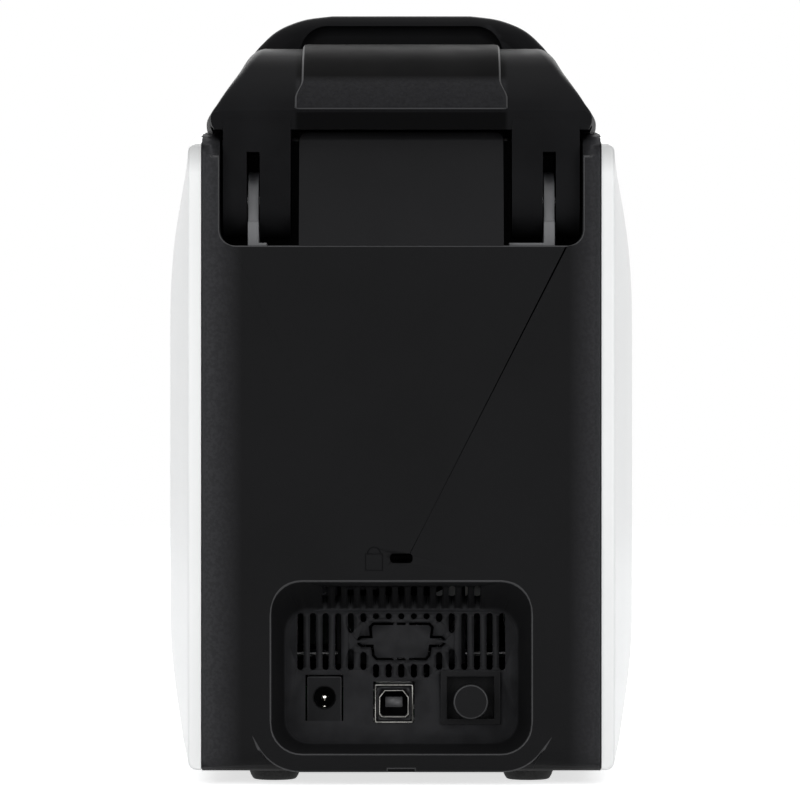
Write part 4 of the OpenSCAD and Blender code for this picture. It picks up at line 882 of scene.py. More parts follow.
def soften(obj, radius, angle, segments, tidy=True, edge_slot=EDGE_SLOT):
    """Rounds the sharp edges of a new piece, after its flat faces are merged where tidy says so."""
    def clean(bm):
        """Merges points and flat faces, but not over the edge of a finish."""
        bmesh.ops.remove_doubles(bm, verts=bm.verts, dist=4 * WELD)
        bmesh.ops.dissolve_limit(bm, angle_limit=math.radians(0.6), verts=bm.verts, edges=bm.edges,
                                 delimit={"MATERIAL"})

    if tidy:
        edit_mesh(obj, clean)
    for polygon in obj.data.polygons:
        polygon.use_smooth = True
    bevel_edges(obj, radius, angle, segments, edge_slot=edge_slot)
    weigh_normals(obj)
    return obj


def flip_x(bm):
    """Mirrors a mesh to the other side and keeps its faces outward."""
    for vert in bm.verts:
        vert.co.x = -vert.co.x
    bmesh.ops.reverse_faces(bm, faces=bm.faces)


# Rounding of the lid's nose and of its rear rim
NOSE_ROUND = 1.2
RIM_ROUND = 5.5
# Width, height and corner radius of the scoop in the lid's rear rim
SCOOP = (65.0, 22.0, 9.0)
SCOOP_DEPTH = 4.0
SCOOP_ROUND = 3.0
# Distance from the crown down to the scoop
SCOOP_DROP = 3.4
LID_HOLLOW_STEPS = 36


def lid_cover():
    """The lid: a thin curved shell whose rear rim is rounded round a shallow scoop."""
    s = settings("printer_covers")
    front = end_insets(NOSE_ROUND, 4)
    rear = end_insets(RIM_ROUND, 9)
    stations = [(LID_FRONT + d, inset) for d, inset in front]
    start, end = stations[-1][0], LID_REAR - rear[-1][0]
    stations += [(start + (end - start) * i / s.rings, 0.0) for i in range(1, s.rings)]
    stations += [(LID_REAR - d, inset) for d, inset in reversed(rear)]
    lid = loft("lid_cover", [lid_ring(y, inset) for y, inset in stations])
    low, high = LID_FRONT + WALL, LID_REAR - SCOOP_DEPTH - WALL
    deep = [low + (high - low) * i / LID_HOLLOW_STEPS for i in range(LID_HOLLOW_STEPS + 1)]
    hollow = loft("lid_hollow", [sunk_ring(y) for y in deep])
    scoop = prism("lid_scoop", round_outline(*SCOOP, (0.0, BODY_TOP - SCOOP_DROP - SCOOP[1] / 2), 8),
                  "y", LID_REAR - SCOOP_DEPTH, LID_REAR + 2)
    soften(scoop, SCOOP_ROUND * MM, 60.0, 6, edge_slot=0)
    apply_modifiers(scoop)
    combine(lid, [hollow, scoop], "DIFFERENCE")
    return lid


def sunk_ring(y):
    """Inner outline of the lid, run down below its lower edge."""
    ring = lid_ring(y, WALL)
    x, _, z = ring[0]
    return [(x, y, z - OVERCUT)] + ring + [(-x, y, z - OVERCUT)]


# Depth and height of the hinge line, and how far the arms reach round it
HINGE = (177.0, 180.5)
ARM_REACH = 11.5
# Side line of the cowl: share of its length, in parts, and height over the lid's lower edge
ARC_PARTS = 50
COVER_ARC = [(0, 29), (12, 28.8), (20, 27.8), (28, 25.6), (36, 21.8), (43, 16.6), (47.5, 11.6),
             (ARC_PARTS, 7)]
# How far the side line moves forward for each millimetre that it drops
ARC_LEAN = 0.4


def cover_profile(drop, low):
    """Side outline of the lid's rear part, in Y and Z."""
    reach = HINGE[0] + ARM_REACH - LID_REAR
    points = [(LID_REAR - 1.0, low), (LID_REAR - 1.0, LID_LOW + COVER_ARC[0][1] - drop)]
    points += [(LID_REAR + p * reach / ARC_PARTS - drop * ARC_LEAN, LID_LOW + h - drop)
               for p, h in smooth_line(COVER_ARC, 5)]
    points.append((HINGE[0] + ARM_REACH - drop * ARC_LEAN, low))
    return points


# ---------------------------------------------------------------- sockets in the connector bay


def middle_of(node):
    """Middle of a node across and up, and its rearmost depth, in millimetres."""
    low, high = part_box(node)
    return (low[0] + high[0]) / 2 / MM, (low[2] + high[2]) / 2 / MM, high[1] / MM


# Outside width of the data port, its wall, and the half width, half height and corners of its opening
PORT_SIZE = 11.96
PORT_WALL = 0.4
PORT_MOUTH = (4.3, 4.0)
PORT_CORNERS = [(-4.3, -3.2), (-4.3, 1.9), (-2.7, 3.9), (2.7, 3.9), (4.3, 1.9), (4.3, -3.2),
                (3.5, -4.0), (-3.5, -4.0)]
# Depths of the openings of the shell and of its block, and the play between the parts inside
PORT_DEPTH = 8.0
BLOCK_DEPTH = 7.0
PORT_PLAY = 0.1
# Distances of the block, the liner and the tongue from the rear face
BLOCK_SINK, LINER_SINK, TONGUE_SINK = 0.5, 0.35, 1.7
# Width, height and rise of the contact tongue
PORT_TONGUE = (5.3, 3.1, 0.4)


def port_outline(grow, centre):
    """Outline of the opening of the data port, which has two cut upper corners."""
    return [(centre[0] + x * (1 + grow / PORT_MOUTH[0]), centre[1] + z * (1 + grow / PORT_MOUTH[1]))
            for x, z in PORT_CORNERS]


def data_port():
    """The square data port: plated shell, lined opening, dark block and contact tongue."""
    x, z, rear = middle_of("usb_port")
    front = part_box("usb_port")[0][1] / MM
    centre = (x, z)
    shell = prism("port_shell", round_outline(PORT_SIZE, PORT_SIZE, 0.5, centre, 3), "y", front, rear)
    inner = PORT_SIZE - 2 * PORT_WALL
    mouth = prism("cut", round_outline(inner, inner, 0.3, centre, 3), "y", rear - PORT_DEPTH, rear + 1)
    combine(shell, [mouth], "DIFFERENCE")
    block = prism("port_block", round_outline(inner - 0.06, inner - 0.06, 0.3, centre, 3),
                  "y", rear - PORT_DEPTH + PORT_PLAY, rear - BLOCK_SINK)
    mouth = prism("cut", port_outline(0.3, centre), "y", rear - BLOCK_DEPTH, rear + 1)
    combine(block, [mouth], "DIFFERENCE")
    liner = prism("port_liner", port_outline(0.28, centre),
                  "y", rear - BLOCK_DEPTH + PORT_PLAY, rear - LINER_SINK)
    mouth = prism("cut", port_outline(0.0, centre), "y", rear - BLOCK_DEPTH - 0.5, rear + 1)
    combine(liner, [mouth], "DIFFERENCE")
    width, height, rise = PORT_TONGUE
    tongue = prism("port_tongue", round_outline(width, height, 0.3, (x, z + rise), 3),
                   "y", rear - BLOCK_DEPTH + PORT_PLAY / 2, rear - TONGUE_SINK)
    return shell, block, liner, tongue


def turned(name, centre, parts, rear, steps):
    """Round solid along Y from pairs of distance in front of a depth, and radius."""
    rings = []
    for back, radius in steps:
        rings.append([(a, rear - back, b) for a, b in circle_outline(radius, centre, parts)])
    return loft(name, rings)


# Height and radius of the power inlet's hole, its depth, and the gap round the body
JACK_HOLE = 26.0
JACK_RADIUS = 3.4
JACK_DEPTH = 12.0
JACK_GAP = 0.5
# Distances in front of the rear face, and radii, of the funnel mouth and the centre pin
MOUTH_STEPS = ((0.5, 3.39), (-0.3, 4.2))
PIN_STEPS = ((12.2, 1.05), (3.6, 1.05), (3.1, 0.9), (2.8, 0.5), (2.7, 0.1))
# Half width of the spring leaf, its bottom and top under the hole's middle
LEAF = (0.7, 3.3, 2.6)
# Distance of the leaf's end from the rear face
LEAF_SINK = 3.4


def power_jack():
    """The round power inlet: moulded block, funnel mouth, centre pin and spring leaf."""
    low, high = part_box("dc_jack")
    x, z, rear = middle_of("dc_jack")
    front = low[1] / MM
    hole = (x, JACK_HOLE)
    width = (high[0] - low[0]) / MM - 2 * JACK_GAP
    height = (high[2] - low[2]) / MM - 2 * JACK_GAP
    body = prism("jack_body", round_outline(width, height, 0.5, (x, z), 3), "y", front, rear)
    bore = prism("jack_bore", circle_outline(JACK_RADIUS, hole, 40), "y", rear - JACK_DEPTH, rear + 1)
    combine(body, [bore], "DIFFERENCE")
    combine(body, [turned("jack_mouth", hole, 40, rear, MOUTH_STEPS)], "DIFFERENCE")
    pin = turned("jack_pin", hole, 20, rear, PIN_STEPS)
    half, bottom, top = LEAF
    leaf = prism("jack_leaf", box_outline(x - half, JACK_HOLE - bottom, x + half, JACK_HOLE - top),
                 "y", rear - PIN_STEPS[0][0], rear - LEAF_SINK)
    return body, join_parts("jack_contacts", [pin, leaf])


# ---------------------------------------------------------------- repeated details, by geometry nodes


class Tree:
    """A geometry node tree under construction, with named inputs."""

    def __init__(self, name, *inputs):
        self.group = bpy.data.node_groups.new(name, "GeometryNodeTree")
        face = self.group.interface
        face.new_socket(name="Geometry", in_out="INPUT", socket_type="NodeSocketGeometry")
        face.new_socket(name="Geometry", in_out="OUTPUT", socket_type="NodeSocketGeometry")
        self.keys = {}
        for label, kind in inputs + (("Finish", "Material"),):
            item = face.new_socket(name=label, in_out="INPUT", socket_type="NodeSocket" + kind)
            self.keys[label] = item.identifier
        self.start = self.group.nodes.new("NodeGroupInput")
        self.end = self.group.nodes.new("NodeGroupOutput")

    def given(self, label):
        """Output of one of the tree's named inputs."""
        return next(socket for socket in self.start.outputs if socket.name == label)

    def add(self, kind, sockets=(), **values):
        """Adds a node, sets its properties, and links or sets its input sockets by number or name."""
        node = self.group.nodes.new(kind)
        for key, value in values.items():
            setattr(node, key, value)
        for key, value in dict(sockets).items():
            if isinstance(value, bpy.types.NodeSocket):
                self.group.links.new(value, node.inputs[key])
            else:
                node.inputs[key].default_value = value
        return node

    def finish(self, instances):
        """Ends the tree with real geometry that carries its finish."""
        real = self.add("GeometryNodeRealizeInstances", {0: instances})
        painted = self.add("GeometryNodeSetMaterial",
                           {"Geometry": real.outputs[0], "Material": self.given("Finish")})
        self.group.links.new(painted.outputs[0], self.end.inputs[0])
        return self

    def run(self, name, points, **values):
        """Runs the tree on points in millimetres and leaves a plain mesh object."""
        obj = new_object(name, [[c * MM for c in point] for point in points], [])
        modifier = obj.modifiers.new(name, "NODES")
        modifier.node_group = self.group
        for label, value in values.items():
            modifier[self.keys[label]] = value
        apply_modifiers(obj)
        return obj


def row_tree():
    """Upright bars with round ends, side by side along X a pitch apart."""
    tree = Tree("Row of slots", ("Count", "Int"), ("Pitch", "Float"), ("Width", "Float"),
                ("Length", "Float"), ("Height", "Float"))
    step = tree.add("ShaderNodeCombineXYZ", {0: tree.given("Pitch")})
    line = tree.add("GeometryNodeMeshLine", {"Count": tree.given("Count"), "Offset": step.outputs[0]},
                    mode="OFFSET", count_mode="TOTAL")
    outline = tree.add("GeometryNodeCurvePrimitiveQuadrilateral",
                       {"Width": tree.given("Width"), "Height": tree.given("Length")})
    half = tree.add("ShaderNodeMath", {0: tree.given("Width"), 1: 0.49}, operation="MULTIPLY")
    rounded = tree.add("GeometryNodeFilletCurve",
                       {"Curve": outline.outputs[0], "Radius": half.outputs[0], "Count": 4}, mode="POLY")
    plate = tree.add("GeometryNodeFillCurve", {0: rounded.outputs[0]}, mode="NGONS")
    raised = tree.add("GeometryNodeExtrudeMesh",
                      {"Mesh": plate.outputs[0], "Offset Scale": tree.given("Height"),
                       "Individual": False})
    under = tree.add("GeometryNodeFlipFaces", {0: plate.outputs[0]})
    both = tree.add("GeometryNodeJoinGeometry")
    for part in (raised, under):
        tree.group.links.new(part.outputs[0], both.inputs[0])
    bar = tree.add("GeometryNodeMergeByDistance", {"Geometry": both.outputs[0], "Distance": 0.00001})
    place = tree.add("GeometryNodeInstanceOnPoints",
                     {"Points": line.outputs[0], "Instance": bar.outputs[0]})
    spread = tree.add("GeometryNodeInstanceOnPoints",
                      {"Points": tree.given("Geometry"), "Instance": place.outputs[0]})
    return tree.finish(spread.outputs[0])


def screw_tree():
    """Screws along +X or -X: a head with a cross recess, and its shank behind it."""
    tree = Tree("Screws", ("Head radius", "Float"), ("Head height", "Float"), ("Shank radius", "Float"),
                ("Shank length", "Float"), ("Turn", "Float"))
    radius, height = tree.given("Head radius"), tree.given("Head height")

    def scaled(socket, factor):
        """A size times a factor."""
        return tree.add("ShaderNodeMath", {0: socket, 1: factor}, operation="MULTIPLY").outputs[0]

    def moved(mesh, rise):
        """A mesh raised by a height."""
        up = tree.add("ShaderNodeCombineXYZ", {2: rise})
        return tree.add("GeometryNodeTransform", {"Geometry": mesh, "Translation": up.outputs[0]})

    washer = tree.add("GeometryNodeMeshCylinder",
                      {"Vertices": 28, "Radius": radius, "Depth": scaled(height, 0.6)})
    crown = tree.add("GeometryNodeMeshCone",
                     {"Vertices": 28, "Radius Top": scaled(radius, 0.8), "Radius Bottom": radius,
                      "Depth": scaled(height, 0.4)})
    low = moved(washer.outputs[0], scaled(height, 0.3))
    top = moved(crown.outputs[0], scaled(height, 0.6))
    head = tree.add("GeometryNodeMeshBoolean", operation="UNION", solver="EXACT")
    tree.group.links.new(low.outputs[0], head.inputs["Mesh 2"])
    tree.group.links.new(top.outputs[0], head.inputs["Mesh 2"])
    recess = tree.add("GeometryNodeMeshBoolean", {"Mesh 1": head.outputs[0]}, operation="DIFFERENCE",
                      solver="EXACT")
    for across, along in ((1.3, 0.3), (0.3, 1.3)):
        size = tree.add("ShaderNodeCombineXYZ", {0: scaled(radius, across), 1: scaled(radius, along),
                                                2: height})
        blade = tree.add("GeometryNodeMeshCube", {"Size": size.outputs[0]})
        tree.group.links.new(moved(blade.outputs[0], scaled(height, 1.1)).outputs[0],
                             recess.inputs["Mesh 2"])
    length = tree.given("Shank length")
    shank = tree.add("GeometryNodeMeshCylinder",
                     {"Vertices": 20, "Radius": tree.given("Shank radius"), "Depth": length})
    whole = tree.add("GeometryNodeJoinGeometry")
    for part in (recess, moved(shank.outputs[0], scaled(length, -0.5))):
        tree.group.links.new(part.outputs[0], whole.inputs[0])
    turn = tree.add("ShaderNodeCombineXYZ", {1: tree.given("Turn")})
    place = tree.add("GeometryNodeInstanceOnPoints",
                     {"Points": tree.given("Geometry"), "Instance": whole.outputs[0],
                      "Rotation": turn.outputs[0]})
    return tree.finish(place.outputs[0])


# How much the cowl draws in and sinks from the lid to its rear lip, as shares of its size
COWL_NARROWING = 0.05
COWL_SINKING = 0.12
COWL_BLEND = 3.0
# Room for the hinge posts, as a radius round the hinge line
POST_ROOM = LID_LOW - HINGE[1] + 1.7
# Depth under the band's surface at which the flanks of the cowl lie
FLANK_DROP = 1.4


def soft_min(a, b, blend):
    """The lower of two heights, with a round transition between them."""
    share = max(0.0, min(1.0, 0.5 + 0.5 * (b - a) / blend))
    return b * (1 - share) + a * share - blend * share * (1 - share)


def cowl_stations():
    """Depths and heights along the cowl's flanks, from the lid to the rear lip."""
    line = cover_profile(FLANK_DROP, LID_LOW)[2:-1]
    stations = [(LID_REAR - 1.5, line[0][1])]
    for i in range(len(line) - 1):
        (ya, za), (yb, zb) = line[i], line[i + 1]
        for step in range(2):
            stations.append((ya + (yb - ya) * step / 2, za + (zb - za) * step / 2))
    stations.append(line[-1])
    return stations


def cowl_ring(y, height, inset):
    """Outline of the cowl at a depth, closed along its lower edge."""
    share = (y - LID_REAR) / (HINGE[0] + ARM_REACH - LID_REAR)
    narrow, low = 1 - COWL_NARROWING * share, 1 - COWL_SINKING * share
    ring = []
    for x, _, z in lid_ring(LID_REAR, inset):
        z = LID_LOW + (z - LID_LOW) * low
        ring.append((x * narrow, y, soft_min(z, height, COWL_BLEND)))
    return ring


def hinge_cover():
    """The lid's rear part: a rounded cowl with a centre band and two hinge arms."""
    stations = cowl_stations()
    cowl = loft("cowl", [cowl_ring(y, height, 0.0) for y, height in stations])
    reach = HINGE[0] + ARM_REACH - WALL
    deep = [(LID_REAR - OVERCUT, stations[0][1])] + [s for s in stations if s[0] < reach]
    inner = []
    for y, height in deep:
        ring = cowl_ring(y, height - WALL, WALL)
        x = ring[0][0]
        inner.append([(x, y, LID_LOW - OVERCUT)] + ring + [(-x, y, LID_LOW - OVERCUT)])
    hollow = loft("cowl_hollow", inner)
    swing = prism("post_room", circle_outline(POST_ROOM, HINGE, 96), "x", -HALF_WIDTH, HALF_WIDTH)
    combine(cowl, [hollow, swing], "DIFFERENCE")
    band = centre_band()
    arms = [hinge_arm(side) for side in (1, -1)]
    return join_parts("hinge_cowl", [cowl, band] + arms)


BAND_WIDTH = 62.0
# How much wider each side of the band gets at its lip, from this height down
BAND_FLARE = 2.0
FLARE_START = LID_LOW + 16
FLARE_HEIGHT = 6.0
LIP_ROUND = 1.6
LIP_STEPS = 5
# How much narrower each side of the band is in its first rows, next to the lid
BAND_START = (3.0, 1.6, 0.8, 0.35, 0.1, 0.0)
# Right side of the band's section: distance in from its edge, and depth under its surface
BAND_EDGE = ((0.3, 3.2), (0.0, 1.5), (0.15, 0.75), (0.7, 0.2), (1.6, 0.0))


def centre_band():
    """Raised band over the middle of the cowl, flaring towards its rounded lip."""
    arc = [(LID_REAR - 3.0, LID_LOW + 28.9)] + cover_profile(0.0, LID_LOW)[2:-1]
    y_end, z_end = arc[-1]
    for step in range(1, LIP_STEPS + 1):
        turn = math.radians(70 * step / LIP_STEPS)
        arc.append((y_end - LIP_ROUND + LIP_ROUND * math.cos(turn), z_end - LIP_ROUND * math.sin(turn)))
    arc += [(y_end - 2.4, z_end - 3.4), (y_end - 2.6, LID_LOW + 1.2)]
    count = len(arc)
    rows = []
    for i, (y, z) in enumerate(arc):
        flare = max(0.0, min(1.0, (FLARE_START - z) / FLARE_HEIGHT))
        flare = flare * flare * (3 - 2 * flare)
        half = BAND_WIDTH / 2 + BAND_FLARE * flare
        if i < len(BAND_START):
            half -= BAND_START[i]
        ahead, back = arc[min(i + 1, count - 1)], arc[max(i - 1, 0)]
        ty, tz = ahead[0] - back[0], ahead[1] - back[1]
        size = math.hypot(ty, tz) or 1.0
        ny, nz = -tz / size, ty / size
        section = [(margin - half, drop) for margin, drop in BAND_EDGE] + [(0.0, 0.0)]
        section += [(half - margin, drop) for margin, drop in reversed(BAND_EDGE)]
        rows.append([(x, y - ny * drop, z - nz * drop) for x, drop in section])
    lip, last = count - LIP_STEPS - 2, len(rows[0]) - 2
    # The lip row and two rows near the band's sides take the lighter edge finish: painted highlights
    return loft("band", rows, highlight_faces=lambda i, j: i == lip or (i < lip and j in (2, last - 2)))


# Inner and outer side of an arm, and the sides, bottom and top of the slot for its hinge plate
ARM_SIDES = (34.2, 55.0)
PLATE_SLOT = (43.65, 47.75)
PLATE_SLOT_LOW, PLATE_SLOT_HIGH = HINGE[1] - 20, HINGE[1] + 14.6
ARM_STEPS = 28


def hinge_arm(side):
    """One arm that carries the lid round its hinge pin."""
    outline = []
    top = LID_LOW + 3
    for step in range(ARM_STEPS + 1):
        turn = -math.pi + math.pi * step / ARM_STEPS
        outline.append((HINGE[0] + ARM_REACH * math.cos(turn), HINGE[1] + ARM_REACH * math.sin(turn)))
    outline.append((HINGE[0] + ARM_REACH - 0.3, top))
    outline.append((HINGE[0] - ARM_REACH + 0.3, top))
    arm = prism("arm", outline, "x", ARM_SIDES[0] * side, ARM_SIDES[1] * side)
    slot = prism("arm_slot", box_outline(LID_REAR, PLATE_SLOT_LOW, REAR, PLATE_SLOT_HIGH), "x",
                 PLATE_SLOT[0] * side, PLATE_SLOT[1] * side)
    combine(arm, [slot], "DIFFERENCE")
    return arm


# ---------------------------------------------------------------- pieces from the frame


# Finish of the rounded edges, where it isn't that of the piece: for the black plastics a lighter,
# glossier black, a painted highlight along the edges
EDGE_FINISH = {"black_plastic": "highlight_edge_black", "panel_black": "highlight_edge_black", "lid_black": "highlight_edge_black",
               "cowl_black": "highlight_edge_black"}


def body_of(node):
    """The moving body that holds a node."""
    bodies = frame["record"]["behaviour"]["bodies"]
    for body, nodes in bodies.items():
        if node in nodes:
            return body
    raise ValueError(f"no body holds {node}")


def slot_of(node):
    """The material slot that the record gives a node."""
    for part in frame["record"]["subparts"]:
        if part["node"] == node:
            return part["material_slot"]
    raise ValueError(f"no slot for {node}")


def place_new(obj, finish, body, slot, *nodes):
    """Gives a new piece its finish and its body, and hides the nodes that it stands for."""
    apply_modifiers(obj)
    set_material(obj, finish_of(finish), finish_of(EDGE_FINISH.get(finish, finish)))
    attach(obj, body)
    if nodes:
        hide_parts(*nodes)


def place_copy(obj, finish, node):
    """Puts a reworked copy of a node in that node's place."""
    place_new(obj, finish, body_of(node), slot_of(node), node)


def dressed(node, radius, finish, name):
    """Replaces a node with a copy whose edges are rounded by a radius in millimetres."""
    place_copy(rounded_copy(node, name, radius * MM), finish, node)


# ---------------------------------------------------------------- studio


# The point that the lamps face, then the name, place, size and power of each lamp
LAMP_AIM = (0.0, 0.0, 0.12)
LAMPS = (("Top lamp", (0.0, 0.3, 1.8), (1.6, 1.6), 15.0),
         ("Left lamp", (1.3, 2.0, 0.6), (0.9, 1.4), 17.0),
         ("Right lamp", (-1.3, 2.0, 0.6), (0.9, 1.4), 17.0),
         ("Front lamp", (0.0, -1.9, 1.0), (1.4, 1.0), 12.0))
FILL_COLOUR = (0.93, 0.96, 1.0, 1.0)
FILL_STRENGTH = 0.42
WHITE = (1.0, 1.0, 1.0, 1.0)
FLOOR_GLOW = 0.7
FLOOR_CELLS = 24
# Width of the camera's sensor in millimetres, of its view at the rear panel, and its place across
SENSOR = 36.0
VIEW_WIDTH = 0.246
CAMERA_SIDE = 0.0004


def build_lamp(name, place, size, power):
    """Soft rectangular lamp that points at the printer."""
    light = bpy.data.lights.new(name, "AREA")
    light.shape = "RECTANGLE"
    light.size, light.size_y = size
    light.energy = power
    obj = bpy.data.objects.new(name, light)
    obj.location = place
    direction = Vector(LAMP_AIM) - Vector(place)
    obj.rotation_euler = direction.to_track_quat("-Z", "Y").to_euler()
    bpy.context.scene.collection.objects.link(obj)


def build_world():
    """Even grey light with a plain white background in the picture and in clear reflections."""
    world = bpy.data.worlds.new("Studio")
    bpy.context.scene.world = world
    world.use_nodes = True
    tree = world.node_tree
    tree.nodes.clear()
    output = tree.nodes.new("ShaderNodeOutputWorld")
    fill = tree.nodes.new("ShaderNodeBackground")
    fill.inputs["Color"].default_value = FILL_COLOUR
    fill.inputs["Strength"].default_value = FILL_STRENGTH
    white = tree.nodes.new("ShaderNodeBackground")
    white.inputs["Color"].default_value = WHITE
    white.inputs["Strength"].default_value = 1.0
    mix = tree.nodes.new("ShaderNodeMixShader")
    tree.links.new(seen_directly(tree), mix.inputs[0])
    tree.links.new(fill.outputs[0], mix.inputs[1])
    tree.links.new(white.outputs[0], mix.inputs[2])
    tree.links.new(mix.outputs[0], output.inputs["Surface"])


def seen_directly(tree):
    """One where a surface is seen by the camera, in a reflection or through glass."""
    paths = tree.nodes.new("ShaderNodeLightPath")
    total = paths.outputs["Is Camera Ray"]
    for name in ("Is Glossy Ray", "Is Transmission Ray"):
        larger = tree.nodes.new("ShaderNodeMath")
        larger.operation = "MAXIMUM"
        tree.links.new(total, larger.inputs[0])
        tree.links.new(paths.outputs[name], larger.inputs[1])
        total = larger.outputs[0]
    return total


def build_floor():
    """Pale flat floor that glows evenly where it is seen directly."""
    size = settings("printer_studio").floor_size
    places = [size * (i / FLOOR_CELLS - 0.5) for i in range(FLOOR_CELLS + 1)]
    verts = [(x, y, 0.0) for x in places for y in places]
    faces = []
    row = FLOOR_CELLS + 1
    for i in range(FLOOR_CELLS):
        for j in range(FLOOR_CELLS):
            a = i * row + j
            faces.append((a, a + row, a + row + 1, a + 1))
    floor = new_object("studio_floor", verts, faces)
    finish = Finish("Pale floor", (0.86, 0.86, 0.86), 1.0)
    broad = finish.noise(0.4, 2.0)
    finish.tone(broad, (0.85, 0.85, 0.85), (0.87, 0.87, 0.87))
    finish.set("Specular IOR Level", 0.0)
    finish.set("Emission Color", WHITE)
    glow = finish.add("ShaderNodeMath", operation="MULTIPLY")
    glow.inputs[1].default_value = FLOOR_GLOW
    finish.join(seen_directly(finish.tree), glow.inputs[0])
    finish.join(glow.outputs[0], finish.shader.inputs["Emission Strength"])
    set_material(floor, finish.material)
    return floor


def build_camera():
    """Camera straight behind the printer, level with the middle of its rear panel."""
    s = settings("printer_studio")
    data = bpy.data.cameras.new("Camera")
    data.sensor_width = SENSOR
    data.lens = SENSOR * s.camera_distance / VIEW_WIDTH
    data.clip_end = 50.0
    camera = bpy.data.objects.new("Camera", data)
    camera.location = (CAMERA_SIDE, REAR * MM + s.camera_distance, s.camera_height)
    camera.rotation_euler = (math.radians(90), 0.0, math.radians(180))
    bpy.context.scene.collection.objects.link(camera)
    bpy.context.scene.camera = camera


# ---------------------------------------------------------------- operators


class PRINTER_OT_side_covers(bpy.types.Operator):
    """Build the two white side covers"""
    bl_idname = "printer.side_covers"
    bl_label = "Side covers"
    bl_options = {"REGISTER", "UNDO"}

    def execute(self, context):
        edge = settings("printer_covers").edge_radius
        for name, node, side in (("right_cover", "right_side_cover", 1),
                                 ("left_cover", "left_side_cover", -1)):
            cover = side_cover(name, side)
            soften(cover, edge, 50.0, 2, tidy=False)
            place_new(cover, "white_plastic", "chassis", "white_plastic", node)
        return {"FINISHED"}


class PRINTER_OT_lid(bpy.types.Operator):
    """Build the lid's shell and the cowl over its hinge"""
    bl_idname = "printer.lid"
    bl_label = "Lid"
    bl_options = {"REGISTER", "UNDO"}

    def execute(self, context):
        lid = lid_cover()
        soften(lid, settings("printer_covers").edge_radius, 50.0, 2, tidy=False)
        place_new(lid, "lid_black", "lid", "black_plastic", "lid_shell")
        cowl = hinge_cover()
        soften(cowl, 0.0007, 30.0, 3)
        place_new(cowl, "cowl_black", "lid", "black_plastic", "lid_hinge_cover")
        return {"FINISHED"}


# Node, radius of its edges in millimetres, finish and name of each moulding
MOULDINGS = (("front_bezel", 0.5, "black_plastic", "bezel"),
             ("base_tray", 0.6, "black_plastic", "base"),
             ("hopper_door", 0.6, "white_plastic", "door"),
             ("output_tray", 0.6, "white_plastic", "tray"),
             ("rubber_feet", 0.6, "rubber", "feet"),
             ("left_hinge_plate", 0.25, "hinge_grey", "hinge_plate_left"),
             ("right_hinge_plate", 0.25, "hinge_grey", "hinge_plate_right"))
CONTROLS = (("left_button", 0.35, "button_grey", "left_button_cap"),
            ("right_button", 0.35, "button_grey", "right_button_cap"),
            ("release_button", 0.35, "button_grey", "release_button_cap"),
            ("display_window", 0.25, "display", "screen"))
SWITCH = (("power_switch", 0.3, "black_plastic", "switch_frame"),
          ("power_button", 0.5, "black_plastic", "switch_cap"))


class PRINTER_OT_mouldings(bpy.types.Operator):
    """Round the edges of the black mouldings and the trays"""
    bl_idname = "printer.mouldings"
    bl_label = "Mouldings"
    bl_options = {"REGISTER", "UNDO"}

    def execute(self, context):
        rear_panel()
        deck()
        for moulding in MOULDINGS:
            dressed(*moulding)
        return {"FINISHED"}


class PRINTER_OT_controls(bpy.types.Operator):
    """Round and finish the buttons and the display on the front"""
    bl_idname = "printer.controls"
    bl_label = "Buttons and display"
    bl_options = {"REGISTER", "UNDO"}

    def execute(self, context):
        for control in CONTROLS:
            dressed(*control)
        return {"FINISHED"}


class PRINTER_OT_sockets(bpy.types.Operator):
    """Build the data port, the power inlet and the power switch"""
    bl_idname = "printer.sockets"
    bl_label = "Sockets"
    bl_options = {"REGISTER", "UNDO"}

    def execute(self, context):
        shell, block, liner, tongue = data_port()
        place_new(shell, "connector_metal", "chassis", "connector_metal", "usb_port")
        place_new(liner, "connector_metal", "chassis", "connector_metal")
        place_new(block, "port_black", "chassis", "black_plastic")
        place_new(tongue, "port_grey", "chassis", "black_plastic")
        body, contacts = power_jack()
        soften(body, 0.0002, 50.0, 2)
        place_new(body, "black_plastic", "chassis", "black_plastic", "dc_jack")
        place_new(contacts, "contact", "chassis", "connector_metal")
        for part in SWITCH:
            dressed(*part)
        return {"FINISHED"}


# Lowest, highest and furthest out of the small marks on the rear face
SMALL_MARKS = (62.5, 78.0, 20.0)
# Lowest, highest and furthest in of the feet of the hinge posts
POST_FEET = (163.0, 173.0, 57.0)


def on_rear_face(a, b):
    """Whether an edge lies in the rear face, away from its small marks and the posts' feet."""
    low, high = min(a.z, b.z), max(a.z, b.z)
    far, near = max(abs(a.x), abs(b.x)), min(abs(a.x), abs(b.x))
    small_mark = SMALL_MARKS[0] < low and high < SMALL_MARKS[1] and far < SMALL_MARKS[2]
    post_foot = POST_FEET[0] < low and high < POST_FEET[1] and near > POST_FEET[2]
    return min(a.y, b.y) > REAR - 0.15 and not small_mark and not post_foot


ROOF_SLOTS = 13
SLOT_PITCH = 3.92
SLOT_WIDTH = 1.98
SLOT_LENGTH = 12.4
# Distance of the slots' middle from the rear face, the height where they start, and how far they rise
SLOT_DEPTH = 8.6
SLOT_FROM = 50.0
SLOT_RISE = 16.0


